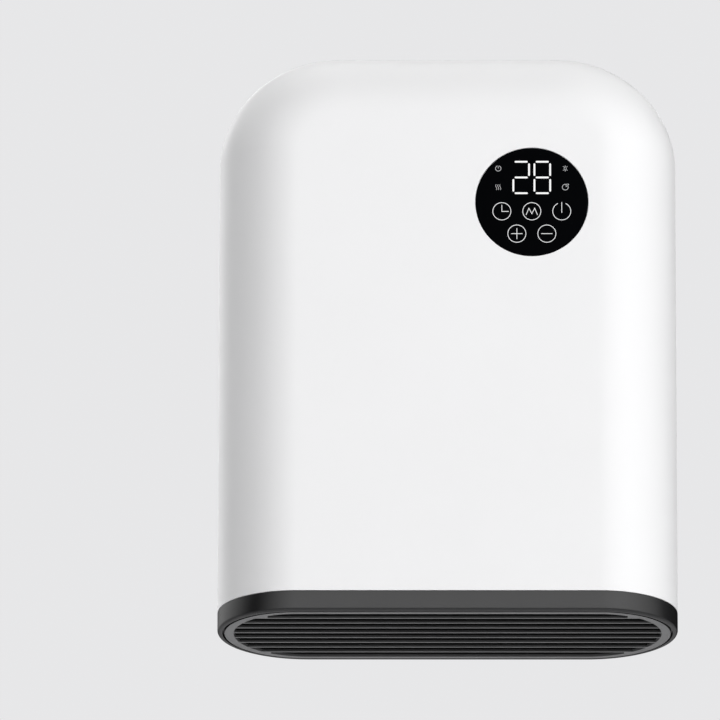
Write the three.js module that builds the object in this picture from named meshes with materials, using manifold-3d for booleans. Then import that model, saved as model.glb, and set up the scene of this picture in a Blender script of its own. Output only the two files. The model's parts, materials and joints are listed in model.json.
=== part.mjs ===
// Wall-hung bathroom fan heater: a white two-part shell over a cross-flow blower that
// pushes air down through a ceramic heating core and a slatted outlet in the underside.
// Millimetres. +X is right as seen from the front, the front faces -Y, +Z is up.
// Origin: on the wall plane, midway between the two hanging keyholes.

import * as THREE from 'three';
import { mergeVertices } from 'three/addons/utils/BufferGeometryUtils.js';
import Module from 'manifold-3d';

const wasm = await Module();
wasm.setup();

// ---------------------------------------------------------------- driving dimensions

const fit = 0.3; // clearance between pieces that touch or plug together
const overrun = 5; // how far a cutter runs past the face it opens
const root = 1; // how far a boss, seat or rib is sunk into what carries it

const body = {
  width: 270,
  height: 349.5,
  depth: 116,
  seamDepth: 54.5, // front face to the widest section, where the shells part
  aboveKeyholes: 95, // keyhole level to the crown
  cornerWide: 71, // elliptical top corners, seen from the front
  cornerTall: 66,
  frontRound: 46.5, // how far the front rounding draws in from the widest outline
  rearRound: 53,
  wall: 2.5,
  lipDepth: 4, // seam lip of the rear cover inside the front shell
  lipWall: 1.8,
  lipPlay: 0.7, // seam lip to the front shell, whose wall draws in ahead of the seam
};

const band = {
  height: 12,
  round: 2, // bottom edge rounding
  wall: 3,
  lipHeight: 4,
  lipWall: 2.2,
  ledgeReach: 3.3,
  ledgeHeight: 2.5,
};

const grille = {
  plate: 2.5,
  riser: 9, // height of the slats and of the wall round them
  riserWall: 1.9,
  windowInset: 8.5, // outline of the slotted field, in from the body outline
  slotWidth: 8.4,
  slatWidth: 2.8,
  ribs: [-62, 0, 62], // stiffening ribs across the slats, at their inner edge
  ribWidth: 2,
  ribHeight: 3.5,
  clipWidth: 14,
  clipHold: 0.7, // how far a clip reaches over the band's ledge
  clipHeight: 2,
  clipAcross: 62, // clips stand this far either side of the middle
};

const lens = {
  diameter: 66,
  thickness: 2,
  across: 49.5, // centre, right of the middle
  below: 101.2, // centre, below the crown
  adhesive: 0.5,
  seatWidth: 3,
  seatThickness: 3,
};

const display = {
  boardInset: 3, // board edge, in from the lens edge
  boardThickness: 1.6,
  boardGap: 6.5, // lens back face to board
  trayDepth: 7,
  trayWall: 2,
  cableHoleWide: 14,
  cableHoleTall: 6,
  digitsWide: 26,
  digitsTall: 22,
  digitsClearance: 1, // module corners to the edge of the lens window
  keySpacing: 17.6,
  keyRowSpacing: 13.2,
  keyRowBelow: 5.5, // upper key row, below the lens centre
  springRadius: 4.5,
  springWire: 0.8,
};

const screws = {
  inset: 23, // in from the flank
  belowCrown: 45, // upper pair
  aboveBase: [165, 50], // middle and lower pairs
  bossRadius: 4.5,
  postRadius: 5.5,
  wellRadius: 3.7,
  floor: 3, // thickness left under the screw head
  headRadius: 3,
  headHeight: 2.2,
  shankRadius: 1.5,
  shankLength: 14,
  bossDepth: 18, // pilot hole depth in the front boss
};

const keyhole = {
  spacing: 120,
  entryRadius: 5,
  slotWidth: 5,
  slotRise: 11, // entry centre to the top of the slot
  pocketWide: 20,
  pocketTall: 30,
  pocketDeep: 8,
  pocketWall: 2,
};

const intake = {
  pitch: 13.5,
  slotHeight: 5,
  belowCrown: 65, // highest slot
  innerEnd: 48, // both ends are measured in from the flank
  outerEnd: 13,
  postClearance: 3.5, // lowest slot to the middle screw posts
};

const gland = {
  aboveBase: 31,
  fromWall: 30,
  inset: 14.5, // flat floor of the niche, in from the flank
  niche: 11, // half the width of the niche
  boreRadius: 3.6,
  bodyRadius: 6.5,
  flangeRadius: 9,
  flange: 2.5,
  inside: 8,
};

const fan = {
  wheelRadius: 27,
  bladeDepth: 7, // radial depth of the blades
  bladeThickness: 1.1,
  bladeSweep: 18.3, // degrees between a blade's root and its tip
  bladeBelly: 0.55, // share of the blade's depth where its middle point lies
  bladeLean: 0.3, // share of the sweep reached there
  blades: 24,
  endGap: 4,
  discThickness: 1.6,
  leftInset: 48, // inner faces of the two end plates, in from the flanks
  rightInset: 36,
  axisAboveBase: 105,
  axisFromWall: 48,
  plate: 2.5,
  plateAbove: 42, // end plates, above and below the wheel's axis
  plateBelow: 45.5,
  scrollStart: 20, // degrees from straight up, towards the front
  scrollEnd: 120,
  scrollGap: 4,
  scrollGrowth: 14,
  scrollSteps: 12,
  sheet: 2,
  tongueGap: 3,
  tongueAngle: 150, // degrees from straight up, towards the wall
  shaftRadius: 2.5,
  hubWall: 3,
  openRingMargin: 2, // middle ring's opening, inside the blade roots
};

const bearing = {
  hubRadius: 10,
  hubLength: 12,
  bushRadius: 6,
  mountRadius: 12,
  mountFlange: 15,
  length: 8,
};

const motor = {
  stack: 16,
  shaftEnd: 1, // shaft beyond the outer bracket
  wide: 52,
  below: 17, // core edge below the shaft axis
  boreRadius: 11.5,
  windowWide: 28,
  windowFrom: 18,
  windowTall: 16,
  legTall: 10,
  coilBuild: 8,
  coilPlay: 1,
  airGap: 0.6,
  bracket: 1.5,
  bracketWide: 14,
  cupRadius: 7,
  cupDepth: 4,
};

const ptc = {
  endMargin: 5, // heating core, in from the end plates
  throatOverlap: 1,
  belowFan: 2,
  flow: 24, // height along the air stream
  tube: 5,
  tubes: 3,
  fin: 9,
  finPitch: 8.6,
  finEndPlay: 1,
  finAcross: 1.6, // sheet thickness measured across the core, along the steep pleats
  frameWall: 3,
  frameHeight: 26,
};

const duct = {
  wall: 2,
  cornerRadius: 4,
  ledge: 2,
};

const cutout = {
  radius: 8,
  thickness: 6,
  tabLength: 24,
  tabThickness: 1,
  across: 60,
  below: 13, // centre, below the top of the heating core
};

const board = {
  wide: 84,
  tall: 66,
  thickness: 1.6,
  belowCrown: 69, // board centre
  fromWall: 24,
  postRadius: 4,
  relayWide: 19,
  relayTall: 16,
  relayDeep: 15,
  relayPlaces: [-24, 0],
  upperRow: 16, // relays and capacitor, above the board's centre
  capacitorRadius: 6.5,
  capacitorDeep: 20,
  capacitorAcross: 27,
  terminalWide: 36,
  terminalTall: 12,
  terminalDeep: 14,
  terminalAcross: 10,
  terminalRow: 17, // below the board's centre
};

const wiring = {
  leadRadius: 1.3,
  ribbonRadius: 1.6,
  straight: 4, // straight run at each end of a wire
  sides: 6,
  steps: 14,
  solderRow: 4, // wires leave the board this far above its foot
  bow: 16, // and bow out from it this far
  sag: 8, // and below its foot
  heaterAcross: 30, // first heater lead, right of the middle
  spread: 6, // between the two heater leads
  laneGap: 4, // right end plate to the heater leads
  laneStep: 2, // second heater lead, further out
  laneForward: 18, // first heater lead, ahead of the heating core's middle
  approach: 12,
  laneTop: 34, // above the end plates
  laneBend: 8,
  laneFoot: 12,
  motorAcross: -34,
  motorRise: 24,
  motorOffset: 20,
  ribbonBow: 14,
  ribbonInset: 5,
  ribbonPass: 26,
};

const smooth = {
  corner: 8, // facets of one top corner
  round: 7, // facets of one front or rear rounding
  edge: 3, // facets of the band's bottom edge
  lens: 40,
  circle: 24,
  small: 12,
};

// ---------------------------------------------------------------- derived levels

const top = body.aboveKeyholes;
const bottom = top - body.height;
const bandTop = bottom + band.height;
const frontFace = -body.depth;
const seam = frontFace + body.seamDepth;
const half = body.width / 2;
const lensCentre = { x: lens.across, z: top - lens.below };
const lensWindow = lens.diameter / 2 - lens.seatWidth;
const fanAxis = { y: -fan.axisFromWall, z: bottom + fan.axisAboveBase };
const fanLeft = fan.leftInset - half;
const fanRight = half - fan.rightInset;
const fanMiddle = (fanLeft + fanRight) / 2;
const fanTop = fanAxis.z + fan.plateAbove;
const fanBase = fanAxis.z - fan.plateBelow;
const ptcLong = fanRight - fanLeft - 2 * ptc.endMargin;
const ptcDepth = ptc.tubes * ptc.tube + (ptc.tubes + 1) * ptc.fin + (2 * ptc.tubes + 2) * fit;
const scrollReach = fan.wheelRadius + fan.scrollGap + fan.scrollGrowth;
const scrollEndAngle = THREE.MathUtils.degToRad(fan.scrollEnd);
const throatFront = fanAxis.y - scrollReach * Math.sin(scrollEndAngle);
const ptcCentreY = throatFront + ptc.throatOverlap + ptcDepth / 2;
const ptcTop = fanBase - ptc.belowFan;
const boardFace = -board.fromWall;
const boardLevel = top - board.belowCrown;
const glandFace = half - gland.inset;
const glandAxis = { y: -gland.fromWall, z: bottom + gland.aboveBase };
const screwLevels = [top - screws.belowCrown, ...screws.aboveBase.map((z) => bottom + z)];

// ---------------------------------------------------------------- solids and finishes

const group = new THREE.Group();

function toSolid(geometry) {
  const plain = geometry.clone();
  plain.deleteAttribute('normal');
  plain.deleteAttribute('uv');
  const merged = mergeVertices(plain, 1e-4);
  return new wasm.Manifold(new wasm.Mesh({
    numProp: 3,
    vertProperties: new Float32Array(merged.attributes.position.array),
    triVerts: new Uint32Array(merged.index.array),
  }));
}

function toGeometry(solid) {
  const mesh = solid.getMesh();
  const geometry = new THREE.BufferGeometry();
  geometry.setAttribute('position', new THREE.BufferAttribute(mesh.vertProperties, 3));
  geometry.setIndex(new THREE.BufferAttribute(mesh.triVerts, 1));
  return geometry;
}

function join(first, ...others) {
  return others.reduce((sum, piece) => sum.add(piece), first);
}

function cut(first, ...others) {
  return others.reduce((rest, piece) => rest.subtract(piece), first);
}

function finish(colour, roughness, metalness = 0) {
  return new THREE.MeshStandardMaterial({ color: colour, roughness, metalness });
}

const whiteShell = () => finish(0xf2f2f2, 0.42);
const blackBand = () => finish(0x2b2b2b, 0.4);
const greyGrille = () => finish(0x4a4a4b, 0.6);
const blackGlass = () => finish(0x050507, 0.08);
const darkFoam = () => finish(0x151515, 0.95);
const greyPlastic = () => finish(0x5c5f61, 0.6);
const blackPlastic = () => finish(0x1c1d1e, 0.55);
const circuitBoard = () => finish(0x1f5a35, 0.5);
const springSteel = () => finish(0xb9bcc0, 0.3, 1);
const sheetSteel = () => finish(0xa4a8ab, 0.42, 1);
const copperWinding = () => finish(0xb0602c, 0.35, 0.9);
const bronze = () => finish(0x9c7440, 0.4, 1);
const rubber = () => finish(0x222222, 0.85);
const aluminium = () => finish(0xc9ccd0, 0.35, 1);
const heatPlastic = () => finish(0x3a332c, 0.6);
const relayBlue = () => finish(0x1e4f93, 0.45);
const terminalGreen = () => finish(0x2f7f4a, 0.5);
const wireJacket = () => finish(0xd8d4cb, 0.6);
const redJacket = () => finish(0x9b2a22, 0.6);

function addMesh(name, solid, material) {
  const mesh = new THREE.Mesh(toGeometry(solid), material);
  mesh.name = name;
  group.add(mesh);
}

// ---------------------------------------------------------------- basic forms

function block(sizeX, sizeY, sizeZ, x, y, z) {
  return toSolid(new THREE.BoxGeometry(sizeX, sizeY, sizeZ).translate(x, y, z));
}

// A box given by its two opposite corners.
function span(x0, x1, y0, y1, z0, z1) {
  return block(x1 - x0, y1 - y0, z1 - z0, (x0 + x1) / 2, (y0 + y1) / 2, (z0 + z1) / 2);
}

// A round bar along X or Y between two positions.
function barX(radius, x0, x1, y, z, facets = smooth.small) {
  const geometry = new THREE.CylinderGeometry(radius, radius, x1 - x0, facets);
  geometry.rotateZ(Math.PI / 2);
  return toSolid(geometry.translate((x0 + x1) / 2, y, z));
}

function barY(radius, y0, y1, x, z, facets = smooth.small) {
  const geometry = new THREE.CylinderGeometry(radius, radius, y1 - y0, facets);
  return toSolid(geometry.translate(x, (y0 + y1) / 2, z));
}

// A flat outline in the YZ plane, given as [y, z] points, made thick along X.
function slabX(points, x0, x1) {
  const shape = new THREE.Shape(points.map(([y, z]) => new THREE.Vector2(y, z)));
  const geometry = new THREE.ExtrudeGeometry(shape, { depth: x1 - x0, bevelEnabled: false });
  geometry.applyMatrix4(new THREE.Matrix4().makeBasis(
    new THREE.Vector3(0, 1, 0), new THREE.Vector3(0, 0, 1), new THREE.Vector3(1, 0, 0)));
  return toSolid(geometry.translate(x0, 0, 0));
}

// A skin through rings of equal point count, capped at both ends, or closed into a loop.
function loft(rings, loop = false) {
  const count = rings[0].length;
  const positions = rings.flat().flatMap((p) => [p.x, p.y, p.z]);
  const index = [];
  const spans = loop ? rings.length : rings.length - 1;
  for (let r = 0; r < spans; r += 1) {
    const next = (r + 1) % rings.length;
    for (let i = 0; i < count; i += 1) {
      const j = (i + 1) % count;
      index.push(r * count + i, r * count + j, next * count + j);
      index.push(r * count + i, next * count + j, next * count + i);
    }
  }
  if (!loop) {
    const last = (rings.length - 1) * count;
    for (let i = 1; i < count - 1; i += 1) {
      index.push(0, i + 1, i);
      index.push(last, last + i, last + i + 1);
    }
  }
  const geometry = new THREE.BufferGeometry();
  geometry.setAttribute('position', new THREE.Float32BufferAttribute(positions, 3));
  geometry.setIndex(signedVolume(positions, index) > 0 ? index : index.toReversed());
  return toSolid(geometry);
}

function signedVolume(positions, index) {
  const at = (i) => new THREE.Vector3().fromArray(positions, index[i] * 3);
  let volume = 0;
  for (let i = 0; i < index.length; i += 3) {
    volume += at(i).dot(at(i + 1).cross(at(i + 2)));
  }
  return volume;
}

function quarter(steps, place) {
  return Array.from({ length: steps + 1 }, (_, i) => place((Math.PI / 2) * (i / steps)));
}

// ---------------------------------------------------------------- body surface

// The arched outline of the body seen from the front, drawn in by an inset.
function archRing(inset, y, floor) {
  const centreX = half - body.cornerWide;
  const centreZ = top - body.cornerTall;
  const corner = (angle) => ({
    x: centreX + (body.cornerWide - inset) * Math.cos(angle),
    z: centreZ + (body.cornerTall - inset) * Math.sin(angle),
  });
  const right = quarter(smooth.corner, corner);
  const left = right.map((p) => ({ x: -p.x, z: p.z })).reverse();
  const foot = { x: half - inset, z: floor };
  const outline = [foot, ...right, ...left, { x: -foot.x, z: floor }];
  return outline.map((p) => new THREE.Vector3(p.x, y, p.z));
}

// The front or rear half of the body, every face moved inwards by the same offset.
function halfBody(side, offset, floor, pastSeam = 0) {
  const isFront = side === 'front';
  const draw = (isFront ? body.frontRound : body.rearRound) - offset;
  const deep = (isFront ? body.seamDepth : body.depth - body.seamDepth) - offset;
  const towards = isFront ? -1 : 1;
  const rings = quarter(smooth.round, (angle) => archRing(
    offset + draw * (1 - Math.cos(angle)),
    seam + towards * deep * Math.sin(angle),
    floor,
  ));
  if (pastSeam > 0) {
    rings.unshift(archRing(offset, seam - towards * pastSeam, floor));
  }
  return loft(rings);
}

// The outline of the body seen from below, drawn in by an inset.
function planRing(inset, z) {
  const frontX = half - body.frontRound;
  const rearX = half - body.rearRound;
  const rearDepth = body.depth - body.seamDepth;
  const frontArc = quarter(smooth.round, (angle) => ({
    x: frontX + (body.frontRound - inset) * Math.cos(angle),
    y: seam - (body.seamDepth - inset) * Math.sin(angle),
  }));
  const rearArc = quarter(smooth.round, (angle) => ({
    x: rearX + (body.rearRound - inset) * Math.cos(angle),
    y: seam + (rearDepth - inset) * Math.sin(angle),
  })).slice(1);
  const right = [...frontArc.reverse(), ...rearArc];
  const left = right.map((p) => ({ x: -p.x, y: p.y })).reverse();
  return [...right, ...left].map((p) => new THREE.Vector3(p.x, p.y, z));
}

function planPrism(inset, z0, z1) {
  return loft([planRing(inset, z0), planRing(inset, z1)]);
}

// The room inside the shells, held clear of their walls.
function cavity(floor) {
  const offset = body.wall + fit;
  return join(halfBody('front', offset, floor, root), halfBody('rear', offset, floor, root));
}

const room = cavity(bottom - overrun);

// ---------------------------------------------------------------- outer shells

function screwPlaces() {
  const across = half - screws.inset;
  return screwLevels.flatMap((z) => [-1, 1].map((side) => ({ x: side * across, z })));
}

function frontHousing() {
  const floor = bandTop + fit;
  const outside = halfBody('front', 0, floor);
  const hollow = halfBody('front', body.wall, floor - overrun, overrun);
  const bossRoot = halfBody('front', body.wall / 2, floor + root);
  const bosses = screwPlaces().map(({ x, z }) => (
    barY(screws.bossRadius, frontFace, seam - fit, x, z).intersect(bossRoot)));
  const inner = frontFace + body.wall;
  const seat = barY(lens.diameter / 2 + lens.seatWidth, inner - root, inner + lens.seatThickness,
    lensCentre.x, lensCentre.z, smooth.lens);
  const recessDepth = lens.thickness + lens.adhesive + 2 * fit;
  const recess = barY(lens.diameter / 2 + fit, frontFace - overrun, frontFace + recessDepth,
    lensCentre.x, lensCentre.z, smooth.lens);
  const window = barY(lensWindow, frontFace, inner + overrun, lensCentre.x, lensCentre.z,
    smooth.lens);
  const pilots = screwPlaces().map(({ x, z }) => (
    barY(screws.shankRadius + fit, seam - screws.bossDepth, seam + overrun, x, z)));
  return cut(join(cut(outside, hollow), ...bosses, seat), recess, window, ...pilots);
}

function seamLip(floor) {
  const lipOuter = body.wall + body.lipPlay;
  const lipInner = lipOuter + body.lipWall;
  const prism = (inset, y0, y1, z) => loft([archRing(inset, y0, z), archRing(inset, y1, z)]);
  const rooted = prism(body.wall - root, seam + fit, seam + body.lipDepth, floor);
  const proud = prism(lipOuter, seam - body.lipDepth, seam + root, floor);
  const reach = body.lipDepth + overrun;
  const core = prism(lipInner, seam - reach, seam + reach, floor - overrun);
  return cut(join(rooted, proud), core);
}

function keyholeCut(x) {
  const inside = -body.wall - overrun;
  const crownLevel = keyhole.slotRise - keyhole.slotWidth / 2;
  const entry = barY(keyhole.entryRadius, inside, overrun, x, 0);
  const slot = span(x - keyhole.slotWidth / 2, x + keyhole.slotWidth / 2,
    inside, overrun, 0, crownLevel);
  const crown = barY(keyhole.slotWidth / 2, inside, overrun, x, crownLevel);
  return join(entry, slot, crown);
}

function keyholePocket(x, grow) {
  const middle = (keyhole.slotRise - keyhole.entryRadius) / 2;
  const tall = keyhole.pocketTall / 2 + grow;
  const wide = keyhole.pocketWide / 2 + grow;
  return span(x - wide, x + wide, -body.wall - keyhole.pocketDeep - grow, -body.wall,
    middle - tall, middle + tall);
}

function intakeSlots() {
  const reach = body.depth - body.seamDepth - overrun;
  const length = intake.innerEnd - intake.outerEnd;
  const middle = half - (intake.innerEnd + intake.outerEnd) / 2;
  const highest = top - intake.belowCrown;
  const lowest = screwLevels[1] + screws.postRadius + intake.postClearance + intake.slotHeight / 2;
  const slots = Math.floor((highest - lowest) / intake.pitch) + 1;
  return Array.from({ length: slots }, (_, i) => [-1, 1].map((side) => block(
    length, reach + overrun, intake.slotHeight,
    side * middle, (overrun - reach) / 2, highest - i * intake.pitch))).flat();
}

function boardPosts() {
  const dx = board.wide / 2 - board.postRadius;
  const dz = board.tall / 2 - board.postRadius;
  return [[-dx, -dz], [dx, -dz], [-dx, dz], [dx, dz]].map(([x, z]) => (
    barY(board.postRadius, boardFace + board.thickness + fit, -body.wall / 2,
      x, boardLevel + z)));
}

// The niche for the supply cord: a flat floor, square to X, sunk in the right flank.
function glandNiche(grow) {
  const reach = gland.niche + grow;
  return span(glandFace - grow, half + overrun, glandAxis.y - reach, overrun,
    glandAxis.z - reach, glandAxis.z + reach);
}

function rearCover() {
  const floor = bandTop + fit;
  const skin = halfBody('rear', body.wall / 2, floor + root);
  const outside = halfBody('rear', 0, floor).trimByPlane([0, 1, 0], seam + fit);
  const hollow = halfBody('rear', body.wall, floor - overrun, overrun);
  const posts = screwPlaces().map(({ x, z }) => (
    barY(screws.postRadius, seam + fit, 0, x, z).intersect(skin)));
  const pockets = [-1, 1].map((side) => (
    keyholePocket(side * keyhole.spacing / 2, keyhole.pocketWall)));
  const lipFloor = bandTop + band.lipHeight + fit;
  const shell = join(cut(outside, hollow), ...posts, ...pockets, seamLip(lipFloor),
    ...boardPosts().map((post) => post.intersect(skin)));
  const wells = screwPlaces().map(({ x, z }) => (
    barY(screws.wellRadius, seam + fit + screws.floor, overrun, x, z)));
  const holes = screwPlaces().map(({ x, z }) => (
    barY(screws.shankRadius + fit, seam - overrun, 0, x, z)));
  const hollows = [-1, 1].map((side) => keyholePocket(side * keyhole.spacing / 2, 0));
  const keyholes = [-1, 1].map((side) => keyholeCut(side * keyhole.spacing / 2));
  const glandHole = barX(gland.bodyRadius + fit, glandFace - 2 * body.wall, half,
    glandAxis.y, glandAxis.z, smooth.circle);
  return cut(join(shell, glandNiche(body.wall).intersect(skin)), ...wells, ...holes, ...hollows,
    ...keyholes, ...intakeSlots(), glandNiche(0), glandHole);
}

addMesh('front_housing', frontHousing(), whiteShell());
addMesh('rear_cover', rearCover(), whiteShell());

// ---------------------------------------------------------------- base band and outlet

function baseRing() {
  const lipOuter = body.wall + fit;
  const lipInner = lipOuter + band.lipWall;
  const ledgeInner = band.wall + band.ledgeReach;
  const ledgeBottom = bottom + grille.plate + fit;
  const profile = [
    ...quarter(smooth.edge, (angle) => [
      band.round * (1 - Math.cos(angle)),
      bottom + band.round * (1 - Math.sin(angle)),
    ]),
    [band.wall, bottom],
    [band.wall, ledgeBottom],
    [ledgeInner, ledgeBottom],
    [ledgeInner, ledgeBottom + band.ledgeHeight],
    [lipInner, ledgeBottom + band.ledgeHeight],
    [lipInner, bandTop + band.lipHeight],
    [lipOuter, bandTop + band.lipHeight],
    [lipOuter, bandTop],
    [0, bandTop],
  ];
  return loft(profile.map(([inset, z]) => planRing(inset, z)), true);
}

function outletGrille() {
  const riserOutset = grille.windowInset - grille.riserWall;
  const plate = planPrism(band.wall + fit, bottom, bottom + grille.plate);
  const riser = planPrism(riserOutset, bottom, bottom + grille.riser);
  const field = planPrism(grille.windowInset, bottom - overrun, bottom + grille.riser + overrun);
  const pitch = grille.slotWidth + grille.slatWidth;
  const fieldDepth = body.depth - 2 * grille.windowInset;
  const count = Math.floor((fieldDepth + grille.slatWidth) / pitch);
  const slots = Array.from({ length: count }, (_, i) => {
    const y = frontFace + grille.windowInset - fit + i * pitch;
    return span(-half, half, y, y + grille.slotWidth, bottom - overrun,
      bottom + grille.riser + overrun).intersect(field);
  });
  const clipFloor = bottom + grille.plate + band.ledgeHeight + 2 * fit;
  const clipTip = band.wall + band.ledgeReach - grille.clipHold;
  const clipRoot = riserOutset + grille.riserWall / 2;
  const clips = [-1, 1].flatMap((side) => {
    const x0 = side * grille.clipAcross - grille.clipWidth / 2;
    const clipAt = (y0, y1) => (
      span(x0, x0 + grille.clipWidth, y0, y1, clipFloor, clipFloor + grille.clipHeight));
    return [clipAt(frontFace + clipTip, frontFace + clipRoot), clipAt(-clipRoot, -clipTip)];
  });
  const ribTop = bottom + grille.riser - fit;
  const ribs = grille.ribs.map((x) => span(x - grille.ribWidth / 2, x + grille.ribWidth / 2,
    frontFace + grille.windowInset - root, root - grille.windowInset, ribTop - grille.ribHeight,
    ribTop));
  return join(cut(join(plate, riser, ...clips), ...slots), ...ribs);
}

addMesh('base_ring', baseRing(), blackBand());
addMesh('outlet_grille', outletGrille(), greyGrille());

// ---------------------------------------------------------------- touch display

function annulusY(outer, inner, y0, y1, x, z, facets = smooth.circle) {
  return cut(barY(outer, y0, y1, x, z, facets),
    barY(inner, y0 - overrun, y1 + overrun, x, z, facets));
}

const lensBack = frontFace + lens.thickness;
const displayFace = lensBack + display.boardGap;
const boardRadius = lens.diameter / 2 - display.boardInset;

function displayTray() {
  const { x, z } = lensCentre;
  const outer = boardRadius + fit + display.trayWall;
  const front = frontFace + body.wall + lens.seatThickness + fit;
  const shell = barY(outer, front, front + display.trayDepth, x, z, smooth.circle);
  const bowl = barY(outer - display.trayWall, front - overrun,
    front + display.trayDepth - display.trayWall, x, z, smooth.circle);
  const cableHole = block(display.cableHoleWide, 2 * display.trayDepth, display.cableHoleTall,
    x, front + display.trayDepth, z);
  return cut(shell, bowl, cableHole);
}

function touchSpring(x, z) {
  const from = lensBack + fit;
  const to = displayFace - fit;
  return annulusY(display.springRadius, display.springRadius - display.springWire,
    from, to, x, z, smooth.small);
}

addMesh('touch_lens', barY(lens.diameter / 2, frontFace, lensBack,
  lensCentre.x, lensCentre.z, smooth.lens), blackGlass());
addMesh('lens_adhesive', annulusY(lens.diameter / 2 - fit, lens.diameter / 2 - lens.seatWidth + fit,
  lensBack + fit, lensBack + lens.adhesive + fit, lensCentre.x, lensCentre.z), darkFoam());
addMesh('display_tray', displayTray(), blackPlastic());
addMesh('display_board', barY(boardRadius, displayFace,
  displayFace + display.boardThickness, lensCentre.x, lensCentre.z, smooth.circle), circuitBoard());
const digitsReach = lensWindow - display.digitsClearance;
const digitsTop = lensCentre.z + Math.sqrt(digitsReach ** 2 - (display.digitsWide / 2) ** 2);
addMesh('digit_module', span(
  lensCentre.x - display.digitsWide / 2, lensCentre.x + display.digitsWide / 2,
  lensBack + fit, displayFace - fit, digitsTop - display.digitsTall, digitsTop), blackPlastic());

const keyRow = lensCentre.z - display.keyRowBelow;
const keyPlaces = {
  timer: [-display.keySpacing, keyRow],
  mode: [0, keyRow],
  power: [display.keySpacing, keyRow],
  plus: [-display.keySpacing / 2, keyRow - display.keyRowSpacing],
  minus: [display.keySpacing / 2, keyRow - display.keyRowSpacing],
};
for (const [key, [x, z]] of Object.entries(keyPlaces)) {
  addMesh(`touch_spring_${key}`, touchSpring(lensCentre.x + x, z), springSteel());
}

// ---------------------------------------------------------------- blower

function polar(radius, degrees) {
  const angle = THREE.MathUtils.degToRad(degrees);
  return [fanAxis.y - radius * Math.sin(angle), fanAxis.z + radius * Math.cos(angle)];
}

// The guide wall: a spiral round the wheel that runs into the front of the throat,
// with a baffle from its upper end to the front shell.
function fanScroll() {
  const wallAt = (extra) => Array.from({ length: fan.scrollSteps + 1 }, (_, i) => {
    const share = i / fan.scrollSteps;
    const degrees = fan.scrollStart + share * (fan.scrollEnd - fan.scrollStart);
    return polar(fan.wheelRadius + fan.scrollGap + fan.scrollGrowth * share + extra, degrees);
  });
  const inside = wallAt(0);
  const outside = wallAt(fan.sheet).reverse();
  const spiral = slabX([...inside, [throatFront, fanBase],
    [throatFront - fan.sheet, fanBase], ...outside], fanLeft + fit, fanRight - fit);
  const [startY, startZ] = outside[outside.length - 1];
  const baffle = slabX([
    [startY + fan.sheet, startZ], [startY + fan.sheet, startZ - fan.sheet],
    [frontFace, startZ + fan.sheet], [frontFace, startZ + 2 * fan.sheet],
  ], fanLeft + fit, fanRight - fit).intersect(room);
  return join(spiral, baffle);
}

// The tongue: the rear of the throat, a rounded nose beside the wheel and a shelf to the wall side.
function fanTongue() {
  const nose = fan.sheet;
  const [noseY, noseZ] = polar(fan.wheelRadius + fan.tongueGap + nose, -fan.tongueAngle);
  const profile = slabX([
    [noseY - nose, noseZ], [noseY - nose, fanBase], [noseY, fanBase],
    [noseY, noseZ - nose], [0, noseZ - nose], [0, noseZ], [noseY, noseZ],
  ], fanLeft + fit, fanRight - fit);
  const roundNose = barX(nose, fanLeft + fit, fanRight - fit, noseY, noseZ - nose / 2);
  return join(profile, roundNose).intersect(room);
}

function endPlate(x0, holeRadius) {
  const plate = span(x0, x0 + fan.plate, frontFace, 0, fanBase, fanTop).intersect(room);
  const hole = barX(holeRadius, x0 - overrun, x0 + fan.plate + overrun, fanAxis.y, fanAxis.z,
    smooth.circle);
  return cut(plate, hole);
}

function bladeProfile(index) {
  const root = fan.wheelRadius - fan.bladeDepth;
  const base = (index / fan.blades) * 360;
  const middle = root + fan.bladeBelly * fan.bladeDepth;
  const tip = fan.wheelRadius - fit;
  const point = (radius, swept, offset) => (
    polar(radius, base + swept - THREE.MathUtils.radToDeg(offset / radius)));
  const line = (offset) => [
    point(root, 0, offset),
    point(middle, fan.bladeLean * fan.bladeSweep, offset),
    point(tip, fan.bladeSweep, offset),
  ];
  return [...line(0), ...line(fan.bladeThickness).reverse()];
}

function blowerWheel() {
  const disc = (x, inner) => annulusX(fan.wheelRadius, inner, x, x + fan.discThickness);
  const openRing = fan.wheelRadius - fan.bladeDepth - fan.openRingMargin;
  const discs = [
    disc((wheelLeft + wheelRight - fan.discThickness) / 2, openRing),
    disc(wheelRight - fan.discThickness, shaftBore),
  ];
  const blades = Array.from({ length: fan.blades }, (_, i) => slabX(bladeProfile(i),
    wheelLeft + fan.discThickness / 2, wheelRight - fan.discThickness / 2));
  const hub = annulusX(fan.shaftRadius + fan.hubWall, shaftBore,
    wheelRight - bearing.hubLength, wheelRight, smooth.small);
  return join(disc(wheelLeft, bearing.hubRadius + fit), ...discs, ...blades, hub);
}

function annulusX(outer, inner, x0, x1, facets = smooth.circle) {
  return cut(barX(outer, x0, x1, fanAxis.y, fanAxis.z, facets),
    barX(inner, x0 - overrun, x1 + overrun, fanAxis.y, fanAxis.z, facets));
}

const wheelLeft = fanLeft + fan.endGap;
const wheelRight = fanRight - fan.endGap;
const motorInner = fanLeft - fan.plate - fit - motor.cupDepth - motor.bracket;
const coreRight = motorInner - fit;
const coreLeft = coreRight - motor.stack;
const motorOuter = coreLeft - fit - motor.bracket;
const shaftBore = fan.shaftRadius + fit;

addMesh('fan_scroll', fanScroll(), greyPlastic());
addMesh('fan_tongue', fanTongue(), greyPlastic());
addMesh('end_plate_left', endPlate(fanLeft - fan.plate, bearing.hubRadius), greyPlastic());
addMesh('end_plate_right', endPlate(fanRight, bearing.mountRadius + fit), greyPlastic());
addMesh('blower_wheel', blowerWheel(), blackPlastic());
addMesh('wheel_coupling', annulusX(bearing.hubRadius, shaftBore,
  wheelLeft, wheelLeft + bearing.hubLength, smooth.small), rubber());
addMesh('wheel_stub_shaft', barX(fan.shaftRadius, wheelRight - bearing.hubLength,
  fanRight + fan.plate + bearing.length / 2, fanAxis.y, fanAxis.z), springSteel());

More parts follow.
